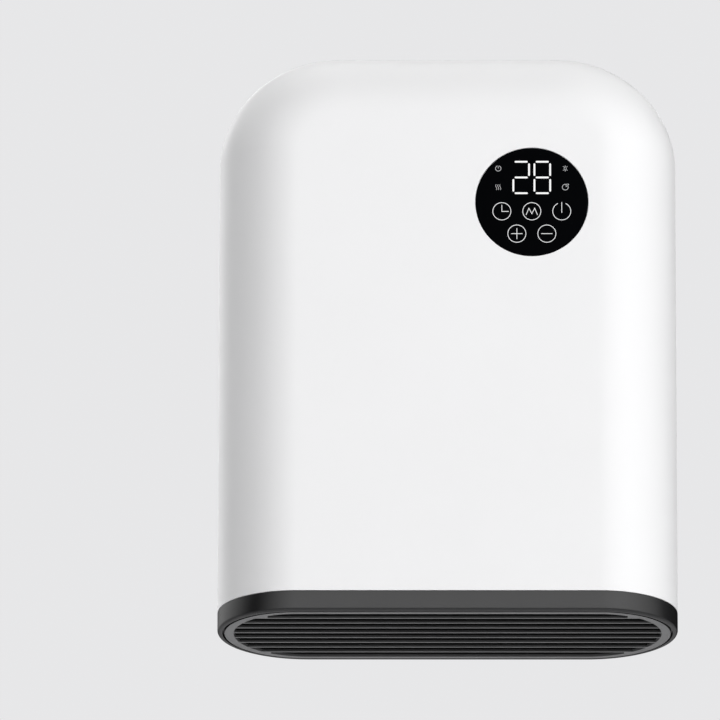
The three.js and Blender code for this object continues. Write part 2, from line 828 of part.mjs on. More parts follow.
// ---------------------------------------------------------------- bearing and motor

function bearingMount() {
  const middle = fanRight + fan.plate / 2;
  const sleeve = barX(bearing.mountRadius, middle - bearing.length / 2,
    middle + bearing.length / 2, fanAxis.y, fanAxis.z, smooth.circle);
  const flange = barX(bearing.mountFlange, fanRight + fan.plate + fit,
    middle + bearing.length / 2, fanAxis.y, fanAxis.z, smooth.circle);
  const bore = barX(bearing.bushRadius + fit, middle - bearing.length,
    middle + bearing.length, fanAxis.y, fanAxis.z);
  return cut(join(sleeve, flange), bore);
}

// The laminated core: a frame with the rotor bore below and the wound leg above.
function motorCore() {
  const { y, z } = fanAxis;
  const legBottom = z + motor.windowFrom + motor.windowTall;
  const frame = span(coreLeft, coreRight, y - motor.wide / 2, y + motor.wide / 2,
    z - motor.below, legBottom + motor.legTall);
  const bore = barX(motor.boreRadius, coreLeft - overrun, coreRight + overrun, y, z,
    smooth.circle);
  const window = span(coreLeft - overrun, coreRight + overrun, y - motor.windowWide / 2,
    y + motor.windowWide / 2, z + motor.windowFrom, legBottom);
  return cut(frame, bore, window);
}

function motorCoil() {
  const { y, z } = fanAxis;
  const legBottom = z + motor.windowFrom + motor.windowTall;
  const reach = motor.windowWide / 2 - motor.coilPlay;
  const around = (growX, growZ, long) => span(coreLeft - growX, coreRight + growX,
    y - long, y + long, legBottom - growZ, legBottom + motor.legTall + growZ);
  return cut(around(motor.coilBuild / 2, motor.coilBuild, reach),
    around(fit, fit, reach + motor.coilPlay));
}

function motorBracket(x0, cupTowards) {
  const { y, z } = fanAxis;
  const strap = span(x0, x0 + motor.bracket, y - motor.wide / 2, y + motor.wide / 2,
    z - motor.bracketWide / 2, z + motor.bracketWide / 2);
  const cupFrom = cupTowards > 0 ? x0 : x0 - motor.cupDepth;
  const cupTo = cupFrom + motor.bracket + motor.cupDepth;
  const cup = barX(motor.cupRadius, cupFrom, cupTo, y, z);
  const bore = barX(shaftBore, cupFrom - overrun, cupTo + overrun, y, z);
  return cut(join(strap, cup), bore);
}

addMesh('bearing_mount', bearingMount(), rubber());
addMesh('bearing_bush', annulusX(bearing.bushRadius, shaftBore,
  fanRight + (fan.plate - bearing.length) / 2, fanRight + (fan.plate + bearing.length) / 2,
  smooth.small), bronze());
addMesh('motor_core', motorCore(), sheetSteel());
addMesh('motor_coil', motorCoil(), copperWinding());
addMesh('motor_bracket_inner', motorBracket(motorInner, 1), sheetSteel());
addMesh('motor_bracket_outer', motorBracket(motorOuter, -1), sheetSteel());
addMesh('motor_rotor', annulusX(motor.boreRadius - motor.airGap, shaftBore,
  coreLeft, coreRight), aluminium());
addMesh('motor_shaft', barX(fan.shaftRadius, motorOuter - motor.cupDepth - motor.shaftEnd,
  wheelLeft + bearing.hubLength, fanAxis.y, fanAxis.z), springSteel());

// ---------------------------------------------------------------- heating core and duct

function ductRing(grow, z) {
  const wide = ptcLong / 2 + ptc.frameWall + fit + grow;
  const deep = ptcDepth / 2 + ptc.frameWall + fit + grow;
  const radius = duct.cornerRadius;
  const arc = (sign) => quarter(smooth.round, (angle) => ({
    x: wide - radius + radius * Math.cos(angle),
    y: sign * (deep - radius + radius * Math.sin(angle)),
  }));
  const right = [...arc(-1).reverse(), ...arc(1).slice(1)];
  right[smooth.round] = { x: wide, y: 0 };
  const left = right.map((p) => ({ x: -p.x, y: p.y })).reverse();
  return [...right, ...left].map((p) => (
    new THREE.Vector3(fanMiddle + p.x, ptcCentreY + p.y, z)));
}

function outletDuct() {
  const foot = bottom + grille.riser + fit;
  const shoulder = ptcTop - ptc.frameHeight - duct.ledge;
  const skin = (grow, z0, z1, footInset) => loft([
    planRing(footInset, z0), ductRing(grow, shoulder), ductRing(grow, z1)]);
  const outer = skin(duct.wall, foot, fanBase - fit, grille.windowInset - duct.wall);
  const above = fanBase + overrun;
  const air = loft([planRing(grille.windowInset, foot - overrun),
    planRing(grille.windowInset, foot), ductRing(-ptc.frameWall, shoulder),
    ductRing(-ptc.frameWall, above)]);
  const socket = loft([ductRing(0, ptcTop - ptc.frameHeight - fit), ductRing(0, above)]);
  return cut(outer, air, socket);
}

function ptcFrame() {
  const z0 = ptcTop - ptc.frameHeight;
  const outer = loft([ductRing(-fit, z0), ductRing(-fit, ptcTop)]);
  const hole = span(fanMiddle - ptcLong / 2, fanMiddle + ptcLong / 2,
    ptcCentreY - ptcDepth / 2, ptcCentreY + ptcDepth / 2, z0 - overrun, ptcTop + overrun);
  return cut(outer, hole);
}

// A pleated fin strip: a zigzag sheet between two heating tubes.
function finStrip(y0) {
  const count = Math.floor((ptcLong - 2 * ptc.finEndPlay) / ptc.finPitch);
  const low = y0 + fit;
  const high = y0 + ptc.fin - fit - ptc.finAcross;
  const start = fanMiddle - (count * ptc.finPitch) / 2;
  const edge = (shift) => Array.from({ length: 2 * count + 1 }, (_, i) => (
    new THREE.Vector2(start + i * ptc.finPitch / 2, (i % 2 ? high : low) + shift)));
  const shape = new THREE.Shape([...edge(0), ...edge(ptc.finAcross).reverse()]);
  const geometry = new THREE.ExtrudeGeometry(shape, { depth: ptc.flow, bevelEnabled: false });
  return toSolid(geometry.translate(0, 0, ptcTop - (ptc.frameHeight + ptc.flow) / 2));
}

addMesh('outlet_duct', outletDuct(), blackPlastic());
addMesh('ptc_frame', ptcFrame(), heatPlastic());
const stackStart = ptcCentreY - ptcDepth / 2 + fit;
const stackStep = ptc.fin + ptc.tube + 2 * fit;
for (let i = 0; i <= ptc.tubes; i += 1) {
  const y = stackStart + i * stackStep;
  addMesh(`ptc_fins_${i + 1}`, finStrip(y), aluminium());
  if (i < ptc.tubes) {
    const tubeY = y + ptc.fin + fit;
    addMesh(`ptc_tube_${i + 1}`, span(fanMiddle - ptcLong / 2 + fit, fanMiddle + ptcLong / 2 - fit,
      tubeY, tubeY + ptc.tube, ptcTop - (ptc.frameHeight + ptc.flow) / 2,
      ptcTop - (ptc.frameHeight - ptc.flow) / 2), aluminium());
  }
}

// A round thermal cut-out on the wall side of the duct, with its mounting tab.
function thermalCutout() {
  const face = ptcCentreY + ptcDepth / 2 + ptc.frameWall + fit + duct.wall + fit;
  const level = ptcTop - cutout.below;
  const tab = block(cutout.tabLength, cutout.tabThickness, cutout.radius,
    cutout.across, face + cutout.tabThickness / 2, level);
  return join(tab, barY(cutout.radius, face, face + cutout.thickness, cutout.across, level));
}

addMesh('thermal_cutout', thermalCutout(), aluminium());

// ---------------------------------------------------------------- power board and wiring

function onBoard(wide, tall, deep, x, z) {
  return span(x - wide / 2, x + wide / 2, boardFace - fit - deep, boardFace - fit,
    z - tall / 2, z + tall / 2);
}

// A wire from one end to the other, leaving each end straight along its own direction,
// on a smooth route through the [x, y, z] points between them.
function wire(radius, [start, startOut], between, [end, endOut]) {
  const first = new THREE.Vector3(...start);
  const last = new THREE.Vector3(...end);
  const route = new THREE.CatmullRomCurve3([
    first,
    first.clone().addScaledVector(new THREE.Vector3(...startOut), wiring.straight),
    ...between.map((p) => new THREE.Vector3(...p)),
    last.clone().addScaledVector(new THREE.Vector3(...endOut), wiring.straight),
    last,
  ]);
  const section = new THREE.Shape(Array.from({ length: wiring.sides }, (_, i) => {
    const angle = (i / wiring.sides) * 2 * Math.PI;
    return new THREE.Vector2(radius * Math.cos(angle), radius * Math.sin(angle));
  }));
  const options = { steps: wiring.steps, extrudePath: route, bevelEnabled: false };
  return toSolid(new THREE.ExtrudeGeometry(section, options));
}

const boardStart = boardFace - fit;
const boardFoot = boardLevel - board.tall / 2;

addMesh('power_board', span(-board.wide / 2, board.wide / 2, boardFace,
  boardFace + board.thickness, boardFoot, boardFoot + board.tall), circuitBoard());
board.relayPlaces.forEach((x, i) => {
  addMesh(`relay_${i + 1}`, onBoard(board.relayWide, board.relayTall, board.relayDeep,
    x, boardLevel + board.upperRow), relayBlue());
});
addMesh('capacitor', barY(board.capacitorRadius, boardFace - fit - board.capacitorDeep,
  boardFace - fit, board.capacitorAcross, boardLevel + board.upperRow), blackPlastic());
addMesh('terminal_block', onBoard(board.terminalWide, board.terminalTall, board.terminalDeep,
  board.terminalAcross, boardLevel - board.terminalRow), terminalGreen());

// The supply-cord gland in its niche: flange outside, body through the wall.
function cordGland() {
  const { y, z } = glandAxis;
  const flange = barX(gland.flangeRadius, glandFace + fit, glandFace + fit + gland.flange,
    y, z, smooth.circle);
  const sleeve = barX(gland.bodyRadius, glandFace - gland.inside, glandFace + fit + root,
    y, z, smooth.circle);
  const bore = barX(gland.boreRadius, glandFace - gland.inside - overrun,
    glandFace + gland.flange + overrun, y, z);
  return cut(join(flange, sleeve), bore);
}

addMesh('cord_gland', cordGland(), rubber());

const ductFlank = fanMiddle + ptcLong / 2 + ptc.frameWall + duct.wall + 2 * fit;
const leadLane = fanRight + fan.plate + wiring.laneGap;
[['live', redJacket], ['neutral', wireJacket]].forEach(([name, material], i) => {
  const x = wiring.heaterAcross - i * wiring.spread;
  const laneX = leadLane + i * wiring.laneStep;
  const y = ptcCentreY - wiring.laneForward - i * wiring.spread;
  addMesh(`heater_lead_${name}`, wire(
    wiring.leadRadius,
    [[x, boardStart, boardFoot + wiring.solderRow], [0, -1, 0]],
    [
      [x + wiring.spread, boardStart - wiring.bow, boardFoot - wiring.sag],
      [laneX - wiring.approach, y + wiring.spread, fanTop + wiring.laneTop],
      [laneX, y, fanTop + wiring.laneBend],
      [laneX, y, fanBase + wiring.laneFoot],
    ],
    [[ductFlank, y, ptcTop - ptc.frameHeight / 2], [1, 0, 0]],
  ), material());
});
const coilTop = fanAxis.z + motor.windowFrom + motor.windowTall + motor.legTall + motor.coilBuild;
const coilMiddle = (coreLeft + coreRight) / 2;
addMesh('motor_lead', wire(
  wiring.leadRadius,
  [[wiring.motorAcross, boardStart, boardFoot + wiring.solderRow], [0, -1, 0]],
  [
    [wiring.motorAcross - wiring.straight, boardStart - wiring.bow, boardFoot - wiring.sag],
    [coilMiddle + wiring.motorOffset, fanAxis.y, coilTop + wiring.motorRise],
  ],
  [[coilMiddle, fanAxis.y, coilTop + fit], [0, 0, 1]],
), wireJacket());
const displayBack = displayFace + display.boardThickness + fit;
addMesh('display_ribbon', wire(
  wiring.ribbonRadius,
  [[lensCentre.x, displayBack, lensCentre.z], [0, 1, 0]],
  [
    [lensCentre.x, displayBack + wiring.ribbonBow, lensCentre.z],
    [board.wide / 2, boardFace - wiring.ribbonPass, boardLevel],
  ],
  [[board.wide / 2 - wiring.ribbonInset, boardStart, boardLevel], [0, -1, 0]],
), wireJacket());

// ---------------------------------------------------------------- shell screws

const headSeat = seam + 2 * fit + screws.floor;
screwPlaces().forEach(({ x, z }, i) => {
  const head = barY(screws.headRadius, headSeat, headSeat + screws.headHeight, x, z);
  const shank = barY(screws.shankRadius, headSeat - screws.shankLength,
    headSeat + screws.headHeight / 2, x, z);
  addMesh(`rear_screw_${i + 1}`, join(head, shank), springSteel());
});

// ---------------------------------------------------------------- export

export default group;
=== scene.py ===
"""Looks of a wall-hung bathroom fan heater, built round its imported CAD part.

Metres, in the part's frame: +X is right as seen from the front, the front faces -Y,
+Z is up, and the origin is on the wall plane, midway between the two keyholes.
"""

import json
import math

import bmesh
import bpy
from mathutils import Matrix, Vector


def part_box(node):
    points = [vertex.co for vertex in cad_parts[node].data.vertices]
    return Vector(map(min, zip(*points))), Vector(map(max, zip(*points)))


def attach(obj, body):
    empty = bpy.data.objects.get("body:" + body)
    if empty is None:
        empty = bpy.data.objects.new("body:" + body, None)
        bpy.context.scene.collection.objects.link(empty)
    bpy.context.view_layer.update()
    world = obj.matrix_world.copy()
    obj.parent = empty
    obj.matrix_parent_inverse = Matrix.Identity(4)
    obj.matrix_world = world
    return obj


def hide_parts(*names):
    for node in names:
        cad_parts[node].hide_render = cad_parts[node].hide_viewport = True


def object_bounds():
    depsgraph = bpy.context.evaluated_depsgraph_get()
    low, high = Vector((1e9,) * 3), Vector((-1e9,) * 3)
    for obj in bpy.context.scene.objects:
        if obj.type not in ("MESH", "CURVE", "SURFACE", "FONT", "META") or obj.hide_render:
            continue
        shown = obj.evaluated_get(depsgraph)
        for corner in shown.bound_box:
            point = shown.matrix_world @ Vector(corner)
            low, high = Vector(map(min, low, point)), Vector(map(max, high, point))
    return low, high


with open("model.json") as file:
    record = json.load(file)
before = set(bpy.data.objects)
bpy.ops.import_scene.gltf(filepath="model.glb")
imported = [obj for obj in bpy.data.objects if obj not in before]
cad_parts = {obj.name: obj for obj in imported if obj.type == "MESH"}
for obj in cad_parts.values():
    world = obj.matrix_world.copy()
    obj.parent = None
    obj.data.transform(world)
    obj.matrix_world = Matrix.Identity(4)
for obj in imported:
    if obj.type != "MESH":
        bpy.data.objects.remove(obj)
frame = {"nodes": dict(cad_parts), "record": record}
cad_low, cad_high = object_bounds()
MIDDLE = (cad_low + cad_high) / 2

MM = 0.001
FIT = 0.3 * MM  # clearance between neighbouring pieces
OVER = 1 * MM  # how far a cutter or a buried end runs past the face that it meets
SLIVER = 0.002 * MM  # edges shorter than this are cutting waste
FLAT_UNDER = math.radians(0.3)  # faces that turn less than this are one flat face
SHARP_FROM = math.radians(35)  # edges that turn less than this are shaded smooth
ROUNDED_FROM = math.radians(40)  # edges that turn more than this are rounded off

# ---- sizes read off the frame

HALF_WIDTH = cad_high.x
TOP = cad_high.z
BOTTOM = cad_low.z
FRONT = cad_low.y
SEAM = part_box("front_housing")[1].y  # where the two shells part
SHELL_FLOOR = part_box("front_housing")[0].z
BAND_TOP = SHELL_FLOOR - FIT

LENS_LOW, LENS_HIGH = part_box("touch_lens")
LENS_X = (LENS_LOW.x + LENS_HIGH.x) / 2
LENS_Z = (LENS_LOW.z + LENS_HIGH.z) / 2
LENS_RADIUS = (LENS_HIGH.x - LENS_LOW.x) / 2
LENS_BACK = LENS_HIGH.y

GRILLE_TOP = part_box("outlet_grille")[1].z
GLAND_LOW, GLAND_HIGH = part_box("cord_gland")
GLAND_Y = (GLAND_LOW.y + GLAND_HIGH.y) / 2
GLAND_Z = (GLAND_LOW.z + GLAND_HIGH.z) / 2
BOARD_LOW, BOARD_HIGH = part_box("power_board")

# ---- sizes of the fine shapes

CORNER_WIDE = 71 * MM
CORNER_TALL = 66 * MM
FRONT_ROUND = 46.5 * MM
REAR_ROUND = 53 * MM
WALL = 2.5 * MM
EDGE_ROUND = 0.25 * MM
FINE_ROUND = 0.15 * MM

LIP_DEPTH = 4 * MM
LIP_INSET = 3.2 * MM
LIP_WALL = 1.8 * MM

BAND_ROUND = 2 * MM
BAND_WALL = 3 * MM
BAND_LIP_INSET = 2.8 * MM
BAND_LIP_WALL = 2.2 * MM
BAND_LIP_HEIGHT = 4 * MM
BAND_LEDGE_INSET = 6.3 * MM
BAND_LEDGE_HEIGHT = 2.5 * MM

RIM_PLATE = 2.5 * MM
RIM_GAP = 1.15 * MM
RIM_ROUND = 0.3 * MM
WINDOW_INSET = 8.5 * MM
WINDOW_FLANK = 1.5 * MM  # how much further in the window's two ends are
WINDOW_DRAFT = 0.4 * MM
RISER_WALL = 1.9 * MM
SLOTS = 9
SLOT_WIDTH = 8.4 * MM
SLAT_WIDTH = 2.8 * MM
SLAT_FOOT = 1.5 * MM
SLAT_EDGE = 1.5 * MM  # height of the slat's foot, below its thinner web
SLAT_WEB = 1.2 * MM
SLAT_PITCH = SLOT_WIDTH + SLAT_WIDTH
FIRST_SLAT = FRONT + WINDOW_INSET - FIT + SLOT_WIDTH + SLAT_WIDTH / 2
LAST_SLAT = FIRST_SLAT + (SLOTS - 2) * SLAT_PITCH
FRONT_TIP = 5.2 * MM  # how much of the first slot's thin ends is closed
REAR_TIP = 3.6 * MM  # and of the last slot's
RIB_PLACES = (-62 * MM, 0, 62 * MM)
RIB_WIDTH = 2 * MM
RIB_HEIGHT = 3.5 * MM
RIB_SINK = 0.1 * MM
CLIP_PLACES = (-62 * MM, 62 * MM)
CLIP_WIDTH = 14 * MM
CLIP_TIP_INSET = 5.6 * MM
CLIP_HEIGHT = 2 * MM

LENS_SEAT = 3 * MM
LENS_RECESS = 3.1 * MM
LENS_GUARD = 1.5 * MM  # width of a ring of even faces round its hole

SCREWS = 6
BOSS_RADIUS = 4.5 * MM
BOSS_SLOPE = 1 * MM  # how much deeper its end is outside than inside
POST_RADIUS = 5.5 * MM
WELL_RADIUS = 3.7 * MM
BOARD_POST = 4 * MM
SCREW_FLOOR = 3 * MM
HEAD_RADIUS = 3 * MM
HEAD_HEIGHT = 2.2 * MM
HEAD_RIM = 0.35  # the share of its height that is upright, under the dome
SHANK_RADIUS = 1.5 * MM
SHANK_LENGTH = 14 * MM
THREAD_TURNS = 12
THREAD_CORE = 0.78  # of the shank's radius
SCREW_TIP = 1 * MM  # the length of the shank below its thread
SCREW_POINT = 0.25 * MM
RECESS_ARM = 1.7 * MM
RECESS_HALF = 0.35 * MM
RECESS_FLOOR = 0.9 * MM
PILOT_DEPTH = 18 * MM

KEYHOLE_X = 60 * MM
KEYHOLE_ENTRY = 5 * MM
KEYHOLE_SLOT = 5 * MM
KEYHOLE_RISE = 11 * MM
KEYHOLE_CHAMFER = 0.6 * MM
POCKET_WIDE = 20 * MM
POCKET_TALL = 30 * MM
POCKET_DEEP = 8 * MM
POCKET_WALL = 2 * MM

INTAKE_SLOTS = 9
INTAKE_PITCH = 13.5 * MM
INTAKE_HEIGHT = 5 * MM
INTAKE_TOP = 30 * MM
INTAKE_INNER = 48 * MM  # both ends are measured in from the flank
INTAKE_OUTER = 13 * MM
INTAKE_START = 5 * MM  # how far behind the seam their cutters begin

NICHE_FACE_INSET = 14.5 * MM
NICHE_HALF = 11 * MM
NICHE_ROUND = 4 * MM
GLAND_BODY = 6.5 * MM
GLAND_FLANGE = 9 * MM
GLAND_FLANGE_THICK = 2.5 * MM
GLAND_BORE = 3.6 * MM
GLAND_ROUND = 0.6 * MM
GLAND_INNER_ROUND = 0.3 * MM

CORNER_STEPS = 28
ROUND_STEPS = 28
FILLET_STEPS = 4
SLAT_ROUND_STEPS = 2
CIRCLE_STEPS = 96
SMALL_STEPS = 32
ENTRY_STEPS = 40
SLOT_END_STEPS = 16
BEVEL_STEPS = 3
ARC_STEPS = 8
KEY_STEPS = 48
SUN_STEPS = 20
HEAT_STEPS = 16
SWIRL_STEPS = 28

# ---- mesh helpers


def sweep(start, turn, steps):
    """Even steps from a start through a turn, both ends included."""
    return [start + turn * i / steps for i in range(steps + 1)]


def quarter(steps):
    """Angles from 0 to a quarter turn."""
    return sweep(0, math.pi / 2, steps)


def grid(shape, rings, closed=True, loop=False):
    """Adds rows of vertices, joined into a skin, and gives the rows back."""
    rows = [[shape.verts.new(point) for point in ring] for ring in rings]
    pairs = list(zip(rows, rows[1:]))
    if loop:
        pairs.append((rows[-1], rows[0]))
    count = len(rows[0])
    for low, high in pairs:
        for i in range(count if closed else count - 1):
            j = (i + 1) % count
            shape.faces.new((low[i], low[j], high[j], high[i]))
    return rows


def loft(shape, rings, loop=False):
    """Adds a closed solid through rings of equal point count."""
    rows = grid(shape, rings, loop=loop)
    if not loop:
        shape.faces.new(rows[0])
        shape.faces.new(rows[-1])


def rounded(points, steps=FILLET_STEPS):
    """A closed outline with each (u, v, radius) corner rounded to its radius."""
    outline = []
    for i, (u, v, radius) in enumerate(points):
        here = Vector((u, v))
        if radius == 0:
            outline.append(here)
            continue
        before = (Vector(points[i - 1][:2]) - here).normalized()
        after = (Vector(points[(i + 1) % len(points)][:2]) - here).normalized()
        half = before.angle(after) / 2
        centre = here + (before + after).normalized() * (radius / math.sin(half))
        first = here + before * (radius / math.tan(half)) - centre
        last = here + after * (radius / math.tan(half)) - centre
        start = math.atan2(first.y, first.x)
        turn = (math.atan2(last.y, last.x) - start + math.pi) % math.tau - math.pi
        for angle in sweep(start, turn, steps):
            outline.append(centre + radius * Vector((math.cos(angle), math.sin(angle))))
    return outline


def circle_y(radius, x, y, z, steps=CIRCLE_STEPS):
    """A ring of points about a line along Y."""
    return [Vector((x + radius * math.cos(a), y, z + radius * math.sin(a)))
            for a in sweep(0, math.tau, steps)[:-1]]


def circle_x(radius, x, y, z, steps=CIRCLE_STEPS):
    """A ring of points about a line along X."""
    return [Vector((x, y + radius * math.cos(a), z + radius * math.sin(a)))
            for a in sweep(0, math.tau, steps)[:-1]]


def turned_y(shape, profile, x, z, steps=CIRCLE_STEPS, loop=False):
    """Adds a solid turned about Y from a (radius, y) profile, or a ring from a looped one."""
    loft(shape, [circle_y(radius, x, y, z, steps) for radius, y in profile], loop)


def rod_y(shape, radius, y0, y1, x, z):
    """Adds a plain round rod along Y."""
    turned_y(shape, [(radius, y0), (radius, y1)], x, z, SMALL_STEPS)


def box(shape, x0, x1, y0, y1, z0, z1):
    outline = ((x0, y0), (x1, y0), (x1, y1), (x0, y1))
    loft(shape, [[Vector((x, y, z)) for x, y in outline] for z in (z0, z1)])


def solid(name, build):
    """An object whose mesh is made by build(shape)."""
    shape = bmesh.new()
    build(shape)
    bmesh.ops.recalc_face_normals(shape, faces=shape.faces)
    mesh = bpy.data.meshes.new(name)
    shape.to_mesh(mesh)
    shape.free()
    piece = bpy.data.objects.new(name, mesh)
    bpy.context.scene.collection.objects.link(piece)
    return piece


def lofted(name, rings, loop=False):
    """An object that is one closed solid through rings."""
    return solid(name, lambda shape: loft(shape, rings, loop))


def weld(piece, merge_flat=False):
    """Merges the doubled corners that cutting leaves, and if asked its flat slivers."""
    shape = bmesh.new()
    shape.from_mesh(piece.data)
    bmesh.ops.dissolve_degenerate(shape, edges=shape.edges, dist=SLIVER)
    if merge_flat:
        bmesh.ops.dissolve_limit(shape, angle_limit=FLAT_UNDER, verts=shape.verts,
                                 edges=shape.edges)
    shape.to_mesh(piece.data)
    shape.free()


def combine(piece, operation, tool):
    """Joins a tool to a piece, cuts it out or keeps what both share, and uses it up."""
    modifier = piece.modifiers.new(operation.lower(), "BOOLEAN")
    modifier.solver = "MANIFOLD"
    modifier.operation = operation
    modifier.object = tool
    evaluated = piece.evaluated_get(bpy.context.evaluated_depsgraph_get())
    mesh = bpy.data.meshes.new_from_object(evaluated)
    piece.modifiers.clear()
    spent = piece.data
    piece.data = mesh
    bpy.data.meshes.remove(spent)
    bpy.data.objects.remove(tool)


def even_normals(piece):
    """Shades by the large faces round each point, so thin faces leave no streaks."""
    normals = piece.modifiers.new("face_normals", "WEIGHTED_NORMAL")
    normals.keep_sharp = True


def round_edges(piece):
    bevel = piece.modifiers.new("round_edges", "BEVEL")
    bevel.width = EDGE_ROUND
    bevel.segments = BEVEL_STEPS
    bevel.limit_method = "ANGLE"
    bevel.angle_limit = ROUNDED_FROM
    bevel.miter_outer = "MITER_ARC"
    even_normals(piece)


def dress(piece, slot, material=None, body="casing", replaces=()):
    """Gives a finished piece its material and its body, and hides the CAD nodes it stands for."""
    piece.data.materials.clear()
    piece.data.materials.append(material or materials[slot])
    for polygon in piece.data.polygons:
        polygon.use_smooth = True
    piece.data.set_sharp_from_angle(angle=SHARP_FROM)
    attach(piece, body)
    if replaces:
        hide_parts(*replaces)


# ---- materials


class Nodes:
    """A material's node tree, with short calls to add and join nodes."""

    def __init__(self, name):
        self.material = bpy.data.materials.new(name)
        self.material.use_nodes = True
        self.tree = self.material.node_tree
        self.shader = self.tree.nodes["Principled BSDF"]
        self.place = self.add("ShaderNodeTexCoord").outputs["Object"]

    def add(self, kind, **settings):
        node = self.tree.nodes.new(kind)
        for key, value in settings.items():
            setattr(node, key, value)
        return node

    def join(self, output, target):
        self.tree.links.new(output, target)

    def noise(self, scale, detail, stretch=(1, 1, 1)):
        """A noise value, of so many waves a metre and more along what is stretched."""
        mapping = self.add("ShaderNodeMapping")
        mapping.inputs["Scale"].default_value = stretch
        self.join(self.place, mapping.inputs["Vector"])
        texture = self.add("ShaderNodeTexNoise")
        texture.inputs["Scale"].default_value = scale
        texture.inputs["Detail"].default_value = detail
        self.join(mapping.outputs["Vector"], texture.inputs["Vector"])
        return texture.outputs["Fac"]

    def spread(self, value, low, high, centre=0.5, reach=0.25):
        """Maps a noise value round its centre to the range from low to high."""
        node = self.add("ShaderNodeMapRange")
        node.inputs["From Min"].default_value = centre - reach
        node.inputs["From Max"].default_value = centre + reach
        node.inputs["To Min"].default_value = low
        node.inputs["To Max"].default_value = high
        self.join(value, node.inputs["Value"])
        return node.outputs["Result"]

    def blend(self, factor, first, second):
        """A colour from the first to the second along the factor."""
        node = self.add("ShaderNodeMix", data_type="RGBA")
        node.inputs["A"].default_value = (*first, 1)
        node.inputs["B"].default_value = (*second, 1)
        self.join(factor, node.inputs["Factor"])
        return node.outputs["Result"]

    def bump(self, *layers):
        """Stacks (height output, distance) layers into the shader's normal."""
        normal = None
        for height, distance in layers:
            node = self.add("ShaderNodeBump")
            node.inputs["Distance"].default_value = distance
            self.join(height, node.inputs["Height"])
            if normal is not None:
                self.join(normal, node.inputs["Normal"])
            normal = node.outputs["Normal"]
        self.join(normal, self.shader.inputs["Normal"])

    def colour(self, output):
        self.join(output, self.shader.inputs["Base Color"])

    def roughness(self, output):
        self.join(output, self.shader.inputs["Roughness"])

    def tone(self, factor, colour, variation):
        """Sets the base colour, a little darker to a little lighter along a noise value."""
        darker = scaled(colour, 1 - variation)
        lighter = scaled(colour, 1 + variation)
        self.colour(self.blend(self.spread(factor, 0, 1), darker, lighter))

    def set(self, **values):
        """Sets constants on the shader's sockets, with underscores for the spaces."""
        for key, value in values.items():
            self.shader.inputs[key.replace("_", " ")].default_value = value


def scaled(colour, factor):
    return tuple(min(1, channel * factor) for channel in colour)


def plastic(name, colour, roughness, grain=0.6 * MM, grain_depth=0.012 * MM, variation=0.03,
            gloss=0.5, haze=0):
    """Moulded plastic: a fine eroded grain, with slow changes of tone and sheen. The haze is
    the pale bloom that a matt skin shows where it turns away from the eye."""
    nodes = Nodes(name)
    nodes.set(Specular_IOR_Level=gloss, Sheen_Weight=haze, Sheen_Roughness=0.3)
    nodes.tone(nodes.noise(14, 4), colour, variation)
    nodes.roughness(nodes.spread(nodes.noise(60, 4), roughness * 0.9, roughness * 1.1))
    unevenness = nodes.noise(9, 2)
    nodes.bump((unevenness, 0.15 * MM), (nodes.noise(1 / grain, 2), grain_depth))
    return nodes.material


def metal(name, colour, roughness, stretch=(1, 1, 1), scale=400, variation=0.08):
    """Bare metal with fine drawn or rolled marks along one direction and slow stains."""
    nodes = Nodes(name)
    nodes.set(Metallic=1)
    nodes.tone(nodes.noise(35, 4), colour, variation)
    marks = nodes.noise(scale, 5, stretch)
    nodes.roughness(nodes.spread(marks, roughness * 0.75, roughness * 1.3))
    nodes.bump((marks, 0.02 * MM))
    return nodes.material


def black_glass():
    """The lens: black behind clear, with the faintest waviness and dust."""
    nodes = Nodes("black_lens_glass")
    nodes.set(Specular_IOR_Level=0.004)
    clean = (0.0012, 0.0014, 0.0019)
    dusty = (0.004, 0.0045, 0.005)
    dust = nodes.spread(nodes.noise(900, 6), 0, 1, centre=0.72, reach=0.06)
    nodes.colour(nodes.blend(dust, clean, dusty))
    nodes.roughness(nodes.spread(nodes.noise(40, 4), 0.06, 0.12))
    nodes.bump((nodes.noise(25, 1), 0.01 * MM))
    return nodes.material


def lit_print(name, colour):
    """Light shining through the lens print, a little uneven as a light guide is."""
    nodes = Nodes(name)
    nodes.set(Roughness=0.5, Specular_IOR_Level=0.1, Base_Color=(0.02, 0.02, 0.02, 1),
              Emission_Strength=1)
    glow = nodes.blend(nodes.spread(nodes.noise(220, 2), 0, 1), scaled(colour, 0.94), colour)
    nodes.join(glow, nodes.shader.inputs["Emission Color"])
    return nodes.material


def circuit_board():
    """Green solder mask over traces, with bare pads showing through."""
    nodes = Nodes("green_circuit_board")
    nodes.set(Specular_IOR_Level=0.6)
    traces = nodes.add("ShaderNodeTexBrick", offset=0.37, squash=0.6)
    traces.inputs["Scale"].default_value = 120
    traces.inputs["Mortar Size"].default_value = 0.035
    traces.inputs["Color1"].default_value = (0.012, 0.085, 0.03, 1)
    traces.inputs["Color2"].default_value = (0.016, 0.11, 0.036, 1)
    traces.inputs["Mortar"].default_value = (0.03, 0.17, 0.06, 1)
    turned = nodes.add("ShaderNodeMapping")
    turned.inputs["Rotation"].default_value = (math.pi / 2, 0, 0)
    nodes.join(nodes.place, turned.inputs["Vector"])
    nodes.join(turned.outputs["Vector"], traces.inputs["Vector"])
    nodes.colour(traces.outputs["Color"])
    nodes.roughness(nodes.spread(nodes.noise(80, 3), 0.3, 0.45))
    nodes.bump((traces.outputs["Fac"], 0.03 * MM), (nodes.noise(1200, 2), 0.01 * MM))
    return nodes.material


